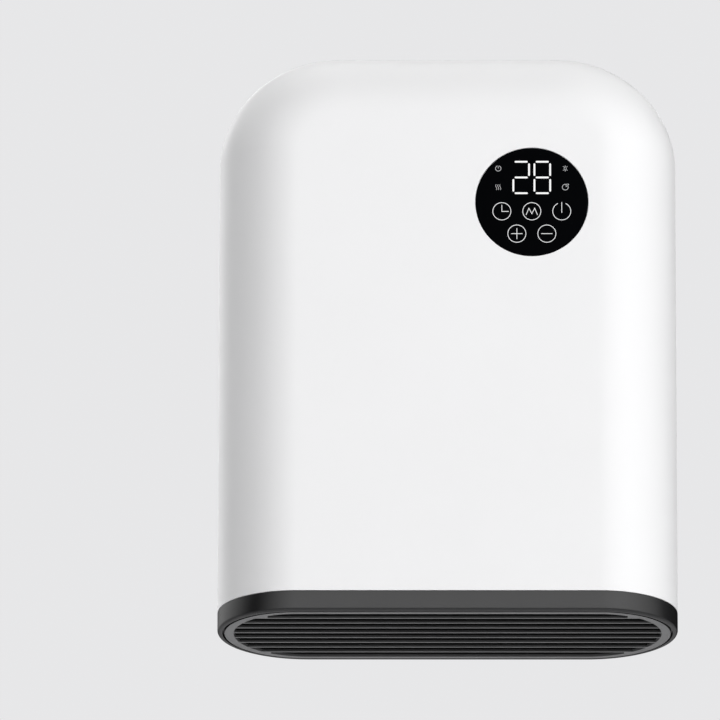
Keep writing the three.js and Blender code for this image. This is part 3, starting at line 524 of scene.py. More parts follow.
def banded(name, colour, dark, metallic, roughness, scale, depth):
    """Close parallel bands along X: laid wire turns or stacked laminations."""
    nodes = Nodes(name)
    nodes.set(Metallic=metallic)
    wave = nodes.add("ShaderNodeTexWave", wave_type="BANDS", bands_direction="X")
    wave.inputs["Scale"].default_value = scale
    wave.inputs["Distortion"].default_value = 0.6
    nodes.join(nodes.place, wave.inputs["Vector"])
    nodes.colour(nodes.blend(wave.outputs["Fac"], dark, colour))
    nodes.roughness(nodes.spread(nodes.noise(150, 3), roughness * 0.85, roughness * 1.2))
    nodes.bump((wave.outputs["Fac"], depth))
    return nodes.material


WHITE = (0.86, 0.86, 0.865)
materials = {  # one for each material slot of the record
    "white_shell": plastic("white_satin_plastic", WHITE, 0.5, variation=0.006, gloss=0.46,
                           haze=0.7),
    "black_band": plastic("black_satin_plastic", (0.011, 0.011, 0.0115), 0.3, gloss=0.6),
    "grey_grille": plastic("dark_grey_textured_plastic", (0.25, 0.25, 0.252), 0.6,
                           grain=0.9 * MM, grain_depth=0.05 * MM, variation=0.1, gloss=0.3),
    "black_lens": black_glass(),
    "dark_foam": plastic("dark_foam_tape", (0.01, 0.01, 0.01), 0.95, grain=0.3 * MM,
                         grain_depth=0.08 * MM, gloss=0.1),
    "grey_plastic": plastic("grey_moulded_plastic", (0.11, 0.115, 0.12), 0.55),
    "black_plastic": plastic("black_moulded_plastic", (0.013, 0.014, 0.015), 0.5),
    "circuit_board": circuit_board(),
    "spring_steel": metal("bright_steel", (0.6, 0.61, 0.63), 0.28, (1, 12, 1)),
    "sheet_steel": banded("laminated_steel", (0.42, 0.43, 0.44), (0.2, 0.2, 0.21), metallic=1,
                          roughness=0.4, scale=101.86, depth=0.03 * MM),
    "copper_winding": banded("copper_winding", (0.55, 0.2, 0.07), (0.2, 0.06, 0.02), metallic=0.9,
                             roughness=0.35, scale=112.05, depth=0.08 * MM),
    "bronze": metal("porous_bronze", (0.42, 0.27, 0.1), 0.42),
    "black_rubber": plastic("black_rubber", (0.014, 0.014, 0.014), 0.8, gloss=0.25),
    "aluminium": metal("rolled_aluminium", (0.72, 0.73, 0.75), 0.34, (1, 1, 18)),
    "heat_plastic": plastic("brown_heat_plastic", (0.045, 0.033, 0.025), 0.6),
    "relay_blue": plastic("blue_relay_case", (0.012, 0.075, 0.28), 0.4),
    "terminal_green": plastic("green_terminal_body", (0.03, 0.22, 0.07), 0.5),
    "wire_white": plastic("white_wire_jacket", (0.66, 0.64, 0.6), 0.5, variation=0.05),
    "wire_red": plastic("red_wire_jacket", (0.3, 0.03, 0.02), 0.5, variation=0.05),
}

# Painted shade: darker copies of the grille's plastic for the sides of the slats and rim, the gap
# round the rim and what lies deeper, so these look shaded next to the lit faces below.
painted_shade_flanks = plastic("grille_flanks_painted_shade", (0.085, 0.085, 0.086), 0.5, gloss=0.3)
painted_shade_depths = plastic("grille_depths_painted_shade", (0.011, 0.011, 0.011), 0.7, gloss=0.1)

# ---- body surface


def arch(inset, y, floor):
    """The outline seen from the front, from the right foot over the crown to the left foot."""
    centre_x = HALF_WIDTH - CORNER_WIDE
    centre_z = TOP - CORNER_TALL
    right = [(centre_x + (CORNER_WIDE - inset) * math.cos(a),
              centre_z + (CORNER_TALL - inset) * math.sin(a)) for a in quarter(CORNER_STEPS)]
    left = [(-x, z) for x, z in reversed(right)]
    outline = [(HALF_WIDTH - inset, floor), *right, *left, (inset - HALF_WIDTH, floor)]
    return [Vector((x, y, z)) for x, z in outline]


# The rounding of each half of the body: its width, its depth and its way along Y.
FRONT_HALF = (FRONT_ROUND, SEAM - FRONT, -1)
REAR_HALF = (REAR_ROUND, -SEAM, 1)


def half_rings(half, offset, floor):
    """Rings from the seam to the front or to the wall, every face moved in by the offset."""
    wide, deep, towards = half
    return [arch(offset + (wide - offset) * (1 - math.cos(a)),
                 SEAM + towards * (deep - offset) * math.sin(a), floor)
            for a in quarter(ROUND_STEPS)]


def half_plan(half, inset, flank):
    """The right side of the outline seen from below, from the flank to the front or wall."""
    wide, deep, towards = half
    return [(HALF_WIDTH - wide + (wide - inset - flank) * math.cos(a),
             SEAM + towards * (deep - inset) * math.sin(a)) for a in quarter(ROUND_STEPS)]


def plan(inset, z, flank=0):
    """The outline seen from below, drawn in by an inset, and by a bit more at the flanks."""
    front = reversed(half_plan(FRONT_HALF, inset, flank))
    right = [*front, *half_plan(REAR_HALF, inset, flank)[1:]]
    left = [(-x, y) for x, y in reversed(right)]
    return [Vector((x, y, z)) for x, y in [*right, *left]]


# ---- front housing


def housing_skin(shape):
    """The outer skin: the rounded shell, the flat face and the stepped recess of the lens."""
    rows = grid(shape, half_rings(FRONT_HALF, 0, SHELL_FLOOR), closed=False)
    hole = LENS_RADIUS + FIT
    recess_y = FRONT + LENS_RECESS
    rings = [(hole + LENS_GUARD, FRONT), (hole, FRONT), (hole, recess_y),
             (LENS_RADIUS - LENS_SEAT, recess_y)]
    lens_rows = grid(shape, [circle_y(radius, LENS_X, y, LENS_Z) for radius, y in rings])
    outline = rows[-1]
    edges = [shape.edges.get(pair) for pair in zip(outline, outline[1:])]
    edges.append(shape.edges.new((outline[-1], outline[0])))
    circle = lens_rows[0]
    edges += [shape.edges.get((a, b)) for a, b in zip(circle, circle[1:] + circle[:1])]
    bmesh.ops.triangle_fill(shape, edges=edges, use_beauty=True, normal=(0, -1, 0))


def front_housing():
    """The front shell: its outer skin, thickened inward, with softened edges."""
    housing = solid("housing_front_shell", housing_skin)
    face = min(housing.data.polygons, key=lambda polygon: polygon.center.y)
    if face.normal.y > 0:  # an open skin may come out facing inward
        housing.data.flip_normals()
    wall = housing.modifiers.new("wall", "SOLIDIFY")
    wall.thickness = WALL
    wall.offset = -1
    wall.use_even_offset = True
    wall.use_quality_normals = True
    dress(housing, "white_shell", replaces=["front_housing"])
    round_edges(housing)


def screw_places():
    """Where the screws stand, read off the frame, as (x, z)."""
    boxes = [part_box(f"rear_screw_{i + 1}") for i in range(SCREWS)]
    return [((low.x + high.x) / 2, (low.z + high.z) / 2) for low, high in boxes]


def front_bosses():
    """The screw bosses moulded inside the front shell, each ended where it meets the wall."""
    bore = SHANK_RADIUS + FIT
    end = SEAM - PILOT_DEPTH
    section = [(bore, end), (BOSS_RADIUS, end - BOSS_SLOPE), (BOSS_RADIUS, SEAM - FIT),
               (bore, SEAM - FIT)]

    def bosses(shape):
        for x, z in screw_places():
            turned_y(shape, section, x, z, SMALL_STEPS, loop=True)

    tubes = solid("housing_screw_bosses", bosses)
    limit = lofted("boss_limit", half_rings(FRONT_HALF, WALL / 2, SHELL_FLOOR + OVER))
    combine(tubes, "INTERSECT", limit)
    dress(tubes, "white_shell")


# ---- rear cover


def intake_cut(shape, side, z):
    """The cutter of one intake slot, with half-round ends."""
    radius = INTAKE_HEIGHT / 2
    x0, x1 = sorted((side * (HALF_WIDTH - INTAKE_INNER), side * (HALF_WIDTH - INTAKE_OUTER)))
    right = [(x1 - radius + radius * math.cos(a), z + radius * math.sin(a))
             for a in sweep(-math.pi / 2, math.pi, ARC_STEPS)]
    left = [(x0 + x1 - x, 2 * z - v) for x, v in right]
    loft(shape, [[Vector((x, y, v)) for x, v in right + left]
                 for y in (SEAM + INTAKE_START, OVER)])


def keyhole_cut(shape, x):
    """The keyhole seen from behind: a round entry with the slot of the screw above it, and a
    chamfer round both."""
    rings = []
    for y, grow in ((-WALL - OVER, 0), (-KEYHOLE_CHAMFER, 0), (0, KEYHOLE_CHAMFER),
                    (OVER, KEYHOLE_CHAMFER)):
        radius = KEYHOLE_ENTRY + grow
        half_slot = KEYHOLE_SLOT / 2 + grow
        crown = KEYHOLE_RISE - KEYHOLE_SLOT / 2
        enter = math.asin(half_slot / radius)
        entry = [(radius * math.sin(a), radius * math.cos(a))
                 for a in sweep(enter, math.tau - 2 * enter, ENTRY_STEPS)]
        top = [(half_slot * math.cos(a), crown + half_slot * math.sin(a))
               for a in sweep(math.pi, -math.pi, SLOT_END_STEPS)]
        rings.append([Vector((x + u, y, v)) for u, v in entry + top])
    loft(shape, rings)


def pocket(shape, x, grow):
    """The closed room behind a keyhole, or that room with its wall."""
    middle = (KEYHOLE_RISE - KEYHOLE_ENTRY) / 2
    wide = POCKET_WIDE / 2 + grow
    tall = POCKET_TALL / 2 + grow
    box(shape, x - wide, x + wide, -WALL - POCKET_DEEP - grow, -WALL, middle - tall, middle + tall)


def niche(shape, grow):
    """The room of the cord gland in the flank and back, or that room with its wall."""
    face = HALF_WIDTH - NICHE_FACE_INSET - grow
    reach = NICHE_HALF + grow
    round_by = NICHE_ROUND + grow
    section = rounded([
        (GLAND_Y - reach, GLAND_Z - reach, round_by), (OVER, GLAND_Z - reach, 0),
        (OVER, GLAND_Z + reach, 0), (GLAND_Y - reach, GLAND_Z + reach, round_by),
    ])
    loft(shape, [[Vector((x, y, z)) for y, z in section] for x in (face, HALF_WIDTH + OVER)])


def rear_additions(shape):
    """Screw posts, keyhole pockets, the gland niche and the posts of the power board."""
    for x, z in screw_places():
        rod_y(shape, POST_RADIUS, SEAM + FIT, 0, x, z)
    for side in (-1, 1):
        pocket(shape, side * KEYHOLE_X, POCKET_WALL)
    for x in (BOARD_LOW.x + BOARD_POST, BOARD_HIGH.x - BOARD_POST):
        for z in (BOARD_LOW.z + BOARD_POST, BOARD_HIGH.z - BOARD_POST):
            rod_y(shape, BOARD_POST, BOARD_HIGH.y + FIT, 0, x, z)
    niche(shape, WALL)


def rear_cuts(shape):
    """Screw wells and holes, keyholes with their pockets, and the intake slots."""
    for x, z in screw_places():
        rod_y(shape, WELL_RADIUS, SEAM + FIT + SCREW_FLOOR, OVER, x, z)
        rod_y(shape, SHANK_RADIUS + FIT, SEAM - OVER, -OVER, x, z)
    for side in (-1, 1):
        pocket(shape, side * KEYHOLE_X, 0)
        keyhole_cut(shape, side * KEYHOLE_X)
        for i in range(INTAKE_SLOTS):
            intake_cut(shape, side, INTAKE_TOP - i * INTAKE_PITCH)
    loft(shape, [circle_x(GLAND_BODY + FIT, x, GLAND_Y, GLAND_Z, SMALL_STEPS)
                 for x in (GLAND_LOW.x - OVER, HALF_WIDTH)])


def rear_outside(shape):
    """The rear half of the body, with the outer edge of the seam rounded off."""
    rings = half_rings(REAR_HALF, 0, SHELL_FLOOR)[1:]
    start = SEAM + FIT
    lead = [arch(EDGE_ROUND * (1 - math.sin(a)), start + EDGE_ROUND * (1 - math.cos(a)),
                 SHELL_FLOOR) for a in quarter(FILLET_STEPS)]
    loft(shape, lead + rings)


def seam_lip(shape):
    """The lip that enters the front shell and its root, both still filled."""
    floor = BAND_TOP + BAND_LIP_HEIGHT + FIT
    for inset, start, end in ((WALL - OVER, FIT, LIP_DEPTH), (LIP_INSET, -LIP_DEPTH, OVER)):
        loft(shape, [arch(inset, SEAM + y, floor) for y in (start, end)])


def rear_cover():
    """The rear shell: hollowed, then given its posts and lip, then pierced."""
    cover = solid("housing_rear_cover", rear_outside)
    start = arch(WALL, SEAM - OVER, SHELL_FLOOR - OVER)
    hollow = lofted("hollow", [start, *half_rings(REAR_HALF, WALL, SHELL_FLOOR - OVER)])
    combine(cover, "DIFFERENCE", hollow)
    additions = solid("additions", rear_additions)
    limit = lofted("limit", half_rings(REAR_HALF, WALL / 2, SHELL_FLOOR + OVER))
    combine(additions, "INTERSECT", limit)
    combine(cover, "UNION", additions)
    lip = solid("lip", seam_lip)
    reach = LIP_DEPTH + OVER
    core = lofted("core", [arch(LIP_INSET + LIP_WALL, SEAM + y, SHELL_FLOOR - OVER)
                           for y in (-reach, reach)])
    combine(lip, "DIFFERENCE", core)
    combine(cover, "UNION", lip)
    combine(cover, "DIFFERENCE", solid("cuts", rear_cuts))
    combine(cover, "DIFFERENCE", solid("niche", lambda shape: niche(shape, 0)))
    weld(cover, merge_flat=True)
    dress(cover, "white_shell", replaces=["rear_cover"])
    even_normals(cover)


# ---- foot band and outlet grille


def band_ring(shape):
    """The band's section swept round the plan outline."""
    ledge_floor = BOTTOM + RIM_PLATE + FIT
    ledge_top = ledge_floor + BAND_LEDGE_HEIGHT
    lip_inner = BAND_LIP_INSET + BAND_LIP_WALL
    lip_top = BAND_TOP + BAND_LIP_HEIGHT
    inner_corners = (
        (BAND_LIP_INSET, BAND_TOP), (BAND_LIP_INSET, lip_top), (lip_inner, lip_top),
        (lip_inner, ledge_top), (BAND_LEDGE_INSET, ledge_top), (BAND_LEDGE_INSET, ledge_floor),
        (BAND_WALL, ledge_floor), (BAND_WALL, BOTTOM),
    )
    section = rounded([(0, BOTTOM + BAND_ROUND, 0), (0, BAND_TOP, EDGE_ROUND),
                       *((u, v, FINE_ROUND) for u, v in inner_corners)])
    section += [Vector((BAND_ROUND * (1 - math.cos(a)), BOTTOM + BAND_ROUND * (1 - math.sin(a))))
                for a in reversed(quarter(ARC_STEPS)[1:])]
    loft(shape, [plan(inset, z) for inset, z in section], loop=True)


def base_band():
    dress(solid("foot_band", band_ring), "black_band", replaces=["base_ring"])


def rim_ring(shape):
    """The rim of the grille: a plate round the window, and the riser that stands on it."""
    plate_inset = BAND_WALL + RIM_GAP
    riser_inset = WINDOW_INSET - RISER_WALL
    section = rounded([
        (plate_inset, BOTTOM, RIM_ROUND), (WINDOW_INSET - WINDOW_DRAFT, BOTTOM, RIM_ROUND),
        (WINDOW_INSET, BOTTOM + SLAT_EDGE, 0), (WINDOW_INSET, GRILLE_TOP, RIM_ROUND),
        (riser_inset, GRILLE_TOP, RIM_ROUND), (riser_inset, BOTTOM + RIM_PLATE, RIM_ROUND),
        (plate_inset, BOTTOM + RIM_PLATE, RIM_ROUND),
    ])
    loft(shape, [plan(inset, z, WINDOW_FLANK if inset > riser_inset - RIM_ROUND else 0)
                 for inset, z in section], loop=True)


def window_reach(y):
    """Half the width of the slotted field at a depth y."""
    wide, deep, _ = FRONT_HALF if y < SEAM else REAR_HALF
    share = min(1, abs(y - SEAM) / (deep - WINDOW_INSET))
    return HALF_WIDTH - wide + (wide - WINDOW_INSET - WINDOW_FLANK) * math.sqrt(1 - share * share)


def beyond(point, inset):
    """Whether a point lies outside the plan outline drawn in by an inset."""
    wide, deep, _ = FRONT_HALF if point.y < SEAM else REAR_HALF
    across = max(0, abs(point.x) - HALF_WIDTH + wide) / (wide - inset)
    along = (point.y - SEAM) / (deep - inset)
    return across ** 2 + along ** 2 > 1


def slat_bar(shape, middle, reach):
    """One slat: a foot with softened edges under a thinner upright web."""
    foot_top = BOTTOM + SLAT_EDGE
    web = SLAT_WEB / 2
    foot = SLAT_FOOT / 2
    section = rounded([
        (middle - foot, BOTTOM, FINE_ROUND), (middle + foot, BOTTOM, FINE_ROUND),
        (middle + foot, foot_top, FINE_ROUND), (middle + web, foot_top, 0),
        (middle + web, GRILLE_TOP, FINE_ROUND), (middle - web, GRILLE_TOP, FINE_ROUND),
        (middle - web, foot_top, 0), (middle - foot, foot_top, FINE_ROUND),
    ], steps=SLAT_ROUND_STEPS)
    loft(shape, [[Vector((x, y, z)) for y, z in section] for x in (-reach, reach)])


def slot_tips(shape, near, far, tip):
    """Closes the thin ends of the slot between a slat's near side and the rim's far one."""
    end = window_reach(near)
    for side in (-1, 1):
        x0, x1 = sorted((side * (end - tip), side * (end + RISER_WALL)))
        box(shape, x0, x1, min(near, far), max(near, far), BOTTOM, BOTTOM + RIM_PLATE)


def grille_bars(shape):
    """All the slats, with their ends buried in the rim."""
    for i in range(SLOTS - 1):
        middle = FIRST_SLAT + i * SLAT_PITCH
        ends = [window_reach(middle + side * SLAT_FOOT / 2) for side in (-1, 1)]
        slat_bar(shape, middle, max(ends) + RISER_WALL / 2)


def grille_tips(shape):
    """The closed tips of the first and the last slot."""
    beside = SLAT_FOOT / 2 - EDGE_ROUND
    slot_tips(shape, FIRST_SLAT - beside, FRONT + WINDOW_INSET - OVER, FRONT_TIP)
    slot_tips(shape, LAST_SLAT + beside, OVER - WINDOW_INSET, REAR_TIP)


def grille_ribs(shape):
    """The cross ribs behind the slats, and the clips that hold the rim on the band's ledge."""
    for x in RIB_PLACES:
        box(shape, x - RIB_WIDTH / 2, x + RIB_WIDTH / 2, FRONT + WINDOW_INSET - OVER,
            OVER - WINDOW_INSET, GRILLE_TOP - RIB_HEIGHT, GRILLE_TOP - RIB_SINK)
    root = WINDOW_INSET - RISER_WALL / 2
    floor = BOTTOM + RIM_PLATE + BAND_LEDGE_HEIGHT + 2 * FIT
    for x in CLIP_PLACES:
        for y0, y1 in ((FRONT + CLIP_TIP_INSET, FRONT + root), (-root, -CLIP_TIP_INSET)):
            box(shape, x - CLIP_WIDTH / 2, x + CLIP_WIDTH / 2, y0, y1, floor, floor + CLIP_HEIGHT)


# The places of the grille's two painted-shade materials in its list.
SHADED_FLANKS = 1  # where the grille's two darker materials stand in its list
SHADED_DEPTHS = 2
DOWNWARD = -0.8  # a face whose normal points lower than this is an underside


def paint_grille_shade(rim):
    """Paints shade on the grille: leaves the undersides grey, paints the upright sides darker, and
    paints the deep faces and the gap round the rim darkest.
    """
    rim.data.materials.append(painted_shade_flanks)
    rim.data.materials.append(painted_shade_depths)
    # Faces outside this inset stand in the gap between the band and the rim and get the darkest
    # painted shade.
    shaded_gap_inset = BAND_WALL + RIM_GAP + EDGE_ROUND
    for polygon in rim.data.polygons:
        # Painted shade: every face above the slat foot, deep inside the grille, gets the darkest
        # copy.
        if polygon.center.z > BOTTOM + SLAT_EDGE - EDGE_ROUND / 2:
            polygon.material_index = SHADED_DEPTHS
        # Painted shade: the upright sides get the darker copy, and the undersides stay grey.
        elif polygon.normal.z > DOWNWARD:
            polygon.material_index = SHADED_DEPTHS if beyond(polygon.center, shaded_gap_inset) else SHADED_FLANKS


def outlet_grille():
    """The grille in the underside: a rim, eight slats, ribs and clips in one moulding."""
    rim = solid("outlet_slatted_grille", rim_ring)
    bars = solid("bars", grille_bars)
    limit = lofted("limit", [plan(WINDOW_INSET - RISER_WALL / 2, z, WINDOW_FLANK)
                             for z in (BOTTOM - OVER, GRILLE_TOP + OVER)])
    combine(bars, "UNION", solid("tips", grille_tips))
    combine(bars, "INTERSECT", limit)
    combine(rim, "UNION", bars)
    combine(rim, "UNION", solid("ribs", grille_ribs))
    weld(rim)
    dress(rim, "grey_grille", replaces=["outlet_grille"])
    # Paints shade on the grille's sides, depths and rim gap.
    paint_grille_shade(rim)


# ---- touch lens and its lit print

PRINT_FACE = FRONT + 0.04 * MM
LENS_FACE = FRONT + 0.1 * MM
LENS_ROUND = 0.35 * MM
MITRE_LIMIT = 0.4  # the least cosine that a line's corner is widened by
CAP_ANGLES = [math.radians(degrees) for degrees in (80, 60, 40, 20)]
DIGIT_CENTRE = 14.95 * MM
DIGIT_ACROSS = 6.2 * MM
SEGMENT_ACROSS = 9.25 * MM  # between the left and right segments of a digit
SEGMENT_PITCH = 9.65 * MM  # between its upper, middle and lower segments
SEGMENT_LENGTH = 7.7 * MM
SEGMENT_WIDTH = 1.06 * MM
KEY_RING = 5.3 * MM
KEY_LINE = 0.34 * MM
KEY_PITCH = 17.6 * MM
KEY_ROW = -5.8 * MM
KEY_ROW_PITCH = 13.7 * MM
SIGN_LINE = 0.3 * MM
SIGN_FINE_LINE = 0.24 * MM
SIGN_ACROSS = 19.7 * MM
SIGN_UPPER = 20.5 * MM
SIGN_LOWER = 9 * MM

POWER_GAP = 27  # degrees to either side of straight up
SIGN_GAP = 22
SIGN_RING = 1.62 * MM
SUN_CORE = 1.05 * MM
SUN_NARROWED = 0.6
SUN_RAYS = (0, 45, 135, 180, 225, 315)
RAY_ENDS = (1.3 * MM, 1.75 * MM)
SWIRL_RING = 1.75 * MM
SWIRL_ENDS = (70, 385)

# Lines of the keys and signs, in millimetres from their middles.
CLOCK_HANDS = ((0, 3.8), (0, -0.1), (3.9, -0.1))
MODE_PEAKS = ((-3.3, -2.1), (-1.7, 1.9), (0, -1.5), (1.7, 1.9), (3.3, -2.1))
POWER_BAR = ((0, 5.4), (0, -0.8))
KEY_BAR = ((-3.2, 0), (3.2, 0))
PLUS_UPRIGHT = (((0, -0.289), (0, -3.2)), ((0, 0.289), (0, 3.2)))  # open where the bar crosses
SIGN_HAND = ((0, 1.3), (0, 0.1))
SWIRL_HOOK = ((0.5, 0.3), (0.45, 1.4), (0.9, 1.85), (1.9, 1.9), (2.1, 1.7), (1.5, 0.9), (0.5, 0.3))
HEAT_PITCH = 1.18
HEAT_REACH = 1.6
HEAT_SWAY = 0.32
HEAT_BEND = 1.7


def touch_lens():
    """The round black lens, with a softened front edge."""
    profile = [(LENS_RADIUS - LENS_ROUND * (1 - math.sin(a)),
                LENS_FACE + LENS_ROUND * (1 - math.cos(a))) for a in quarter(FILLET_STEPS)]
    profile.append((LENS_RADIUS, LENS_BACK))
    lens = solid("touch_lens_glass", lambda shape: turned_y(shape, profile, LENS_X, LENS_Z))
    dress(lens, "black_lens", replaces=["touch_lens"])


def cap(section, towards):
    """The narrowing sections of a line's round end, from the tip inwards."""
    centre, along, half = section
    return [(centre + towards * along * half * math.sin(a), along, half * math.cos(a))
            for a in CAP_ANGLES]


def stroke(shape, points, width, closed=False):
    """Adds one line of the print: a thin ribbon through points in the lens plane, in metres
    from the lens centre, with mitred corners and round ends."""
    path = [Vector(point) for point in points]
    count = len(path)
    sections = []
    for i, here in enumerate(path):
        before = (here - path[i - 1]).normalized() if closed or i > 0 else None
        after = (path[(i + 1) % count] - here).normalized() if closed or i < count - 1 else None
        before, after = before or after, after or before
        along = (before + after).normalized()
        sections.append((here, along, width / 2 / max(MITRE_LIMIT, along.dot(after))))
    if not closed:
        sections = [*cap(sections[0], -1), *sections, *reversed(cap(sections[-1], 1))]
    rings = []
    for centre, along, half in sections:
        side = Vector((-along.y, along.x)) * half
        corners = ((centre + side, PRINT_FACE), (centre - side, PRINT_FACE),
                   (centre - side, LENS_FACE), (centre + side, LENS_FACE))
        rings.append([Vector((LENS_X + p.x, y, LENS_Z + p.y)) for p, y in corners])
    loft(shape, rings, loop=closed)


def arc(x, z, radius, start, end, steps):
    """Points on an arc; angles in degrees, clockwise from straight up."""
    angles = [math.radians(degrees) for degrees in sweep(start, end - start, steps)]
    return [(x + radius * math.sin(a), z + radius * math.cos(a)) for a in angles]


def sketch(shape, x, z, points, width):
    """A line through points in millimetres from the middle of a key or sign."""
    stroke(shape, [(x + u * MM, z + v * MM) for u, v in points], width)


SEGMENTS = {  # how far each lies to the side and up, in half pitches
    "a": (0, 2), "b": (1, 1), "c": (1, -1), "d": (0, -2), "e": (-1, -1), "f": (-1, 1), "g": (0, 0),
}


def digit(shape, x, segments):
    """A seven-segment digit, its middle at x on the level of the digits."""
    straight = (SEGMENT_LENGTH - SEGMENT_WIDTH) / 2
    for side, up in (SEGMENTS[name] for name in segments):
        u = x + side * SEGMENT_ACROSS / 2
        v = DIGIT_CENTRE + up * SEGMENT_PITCH / 2
        du, dv = (0, straight) if side else (straight, 0)
        stroke(shape, [(u - du, v - dv), (u + du, v + dv)], SEGMENT_WIDTH)


def closed_key(shape, x, z, *lines):
    """A key with lines in its ring."""
    stroke(shape, arc(x, z, KEY_RING, 0, 360, KEY_STEPS)[:-1], KEY_LINE, closed=True)
    for line in lines:
        sketch(shape, x, z, line, KEY_LINE)


def open_key(shape, x, z):
    """The power key: a ring open at the top, with a bar."""
    stroke(shape, arc(x, z, KEY_RING, POWER_GAP, 360 - POWER_GAP, KEY_STEPS), KEY_LINE)
    sketch(shape, x, z, POWER_BAR, KEY_LINE)


def sign_clock(shape, x, z):
    """A small open ring with one hand."""
    stroke(shape, arc(x, z, SIGN_RING, SIGN_GAP, 360 - SIGN_GAP, SMALL_STEPS), SIGN_LINE)
    sketch(shape, x, z, SIGN_HAND, SIGN_LINE)


def sign_sun(shape, x, z):
    """A narrow core with rays."""
    core = arc(x, z, SUN_CORE, 0, 360, SUN_STEPS)[:-1]
    stroke(shape, [(x + SUN_NARROWED * (u - x), v) for u, v in core], SIGN_FINE_LINE, closed=True)
    for degrees in SUN_RAYS:
        ends = [arc(x, z, radius, degrees, degrees, 1)[0] for radius in RAY_ENDS]
        stroke(shape, ends, SIGN_FINE_LINE)


def sign_heat(shape, x, z):
    """Three rising waves."""
    for shift in (-HEAT_PITCH, 0, HEAT_PITCH):
        wave = [(shift - HEAT_SWAY * math.sin(HEAT_BEND * v), v)
                for v in sweep(-HEAT_REACH, 2 * HEAT_REACH, HEAT_STEPS)]
        sketch(shape, x, z, wave, SIGN_FINE_LINE)


def sign_swirl(shape, x, z):
    """An open ring with a hooked tip."""
    stroke(shape, arc(x, z, SWIRL_RING, *SWIRL_ENDS, SWIRL_STEPS), SIGN_LINE)
    sketch(shape, x, z, SWIRL_HOOK, SIGN_FINE_LINE)


def lens_print():
    """Every lit figure, key and sign on the lens, each a piece of its own."""
    bright = lit_print("lit_digits", (1, 1, 1))
    soft = lit_print("lit_keys", (0.93, 0.94, 0.95))
    dim = lit_print("lit_signs", (0.55, 0.56, 0.57))
    lower = KEY_ROW - KEY_ROW_PITCH
    pieces = [
        ("digit_tens", bright, digit, -DIGIT_ACROSS, "abged"),
        ("digit_units", bright, digit, DIGIT_ACROSS, "abcdefg"),
        ("key_timer", soft, closed_key, -KEY_PITCH, KEY_ROW, CLOCK_HANDS),
        ("key_mode", soft, closed_key, 0, KEY_ROW, MODE_PEAKS),
        ("key_power", soft, open_key, KEY_PITCH, KEY_ROW),
        ("key_plus", soft, closed_key, -KEY_PITCH / 2, lower, KEY_BAR, *PLUS_UPRIGHT),
        ("key_minus", soft, closed_key, KEY_PITCH / 2, lower, KEY_BAR),
        ("sign_clock", dim, sign_clock, -SIGN_ACROSS, SIGN_UPPER),
        ("sign_heat", dim, sign_heat, -SIGN_ACROSS, SIGN_LOWER),
        ("sign_sun", dim, sign_sun, SIGN_ACROSS, SIGN_UPPER),
        ("sign_swirl", dim, sign_swirl, SIGN_ACROSS, SIGN_LOWER),
    ]
    for name, material, draw, *where in pieces:
        dress(solid(name, lambda shape: draw(shape, *where)), "black_lens", material)


# ---- screws and gland


def shell_screw(index, x, z):
    """A pan-head screw with a cross recess, deep in its well."""
    seat = SEAM + 2 * FIT + SCREW_FLOOR
    dome = [(HEAD_RADIUS * math.cos(a),
             seat + HEAD_HEIGHT * (HEAD_RIM + (1 - HEAD_RIM) * math.sin(a)))
            for a in quarter(ARC_STEPS)[:-1]]
    pitch = (SHANK_LENGTH - SCREW_TIP) / THREAD_TURNS
    thread = [(SHANK_RADIUS * (1 if i % 2 else THREAD_CORE), seat - i * pitch / 2)
              for i in range(2 * THREAD_TURNS + 1)]
    profile = [(SCREW_POINT, seat - SHANK_LENGTH), *reversed(thread), (HEAD_RADIUS, seat), *dome]
    screw = solid(f"shell_screw_{index}", lambda shape: turned_y(shape, profile, x, z, SMALL_STEPS))

    def recess(shape):
        for wide, tall in ((RECESS_ARM, RECESS_HALF), (RECESS_HALF, RECESS_ARM)):
            box(shape, x - wide, x + wide, seat + RECESS_FLOOR, seat + HEAD_HEIGHT + OVER,
                z - tall, z + tall)

    combine(screw, "DIFFERENCE", solid("recess", recess))
    dress(screw, "spring_steel", replaces=[f"rear_screw_{index}"])


def cord_gland():
    """The rubber gland in its niche: a rounded flange, a round body and an open bore."""
    flange_in = HALF_WIDTH - NICHE_FACE_INSET + FIT
    flange_out = flange_in + GLAND_FLANGE_THICK
    section = rounded([
        (GLAND_BORE, GLAND_LOW.x, 0), (GLAND_BODY, GLAND_LOW.x, GLAND_ROUND),
        (GLAND_BODY, flange_in, 0), (GLAND_FLANGE, flange_in, GLAND_INNER_ROUND),
        (GLAND_FLANGE, flange_out, GLAND_ROUND), (GLAND_BORE, flange_out, GLAND_ROUND),
    ])
    gland = lofted("supply_gland", [circle_x(radius, x, GLAND_Y, GLAND_Z, SMALL_STEPS)
                                    for radius, x in section], loop=True)
    dress(gland, "black_rubber", replaces=["cord_gland"])


# ---- build the looks


def finish_frame_nodes():
    """Gives each CAD node that still shows the procedural material of its slot."""
    for entry in frame["record"]["subparts"]:
        node = frame["nodes"][entry["node"]]
        node.data.materials.clear()
        node.data.materials.append(materials[entry["material_slot"]])


finish_frame_nodes()
front_housing()
front_bosses()
rear_cover()
base_band()
outlet_grille()
touch_lens()
lens_print()
for number, (screw_x, screw_z) in enumerate(screw_places(), start=1):
    shell_screw(number, screw_x, screw_z)
cord_gland()

# ---- camera, stage and light

IMAGE_SIDE = 720  # pixels
SENSOR = 36  # millimetres
VIEW_END = 100
CAMERA_DISTANCE = 6.6925
CAMERA_BELOW = math.radians(15.996)  # the camera looks up at the heater by this angle
PIXELS_PER_METRE = 1692.4  # at the middle of the heater
OFF_CENTRE = (87.56, 10.72)  # pixels from the image centre to the heater's middle, right and up


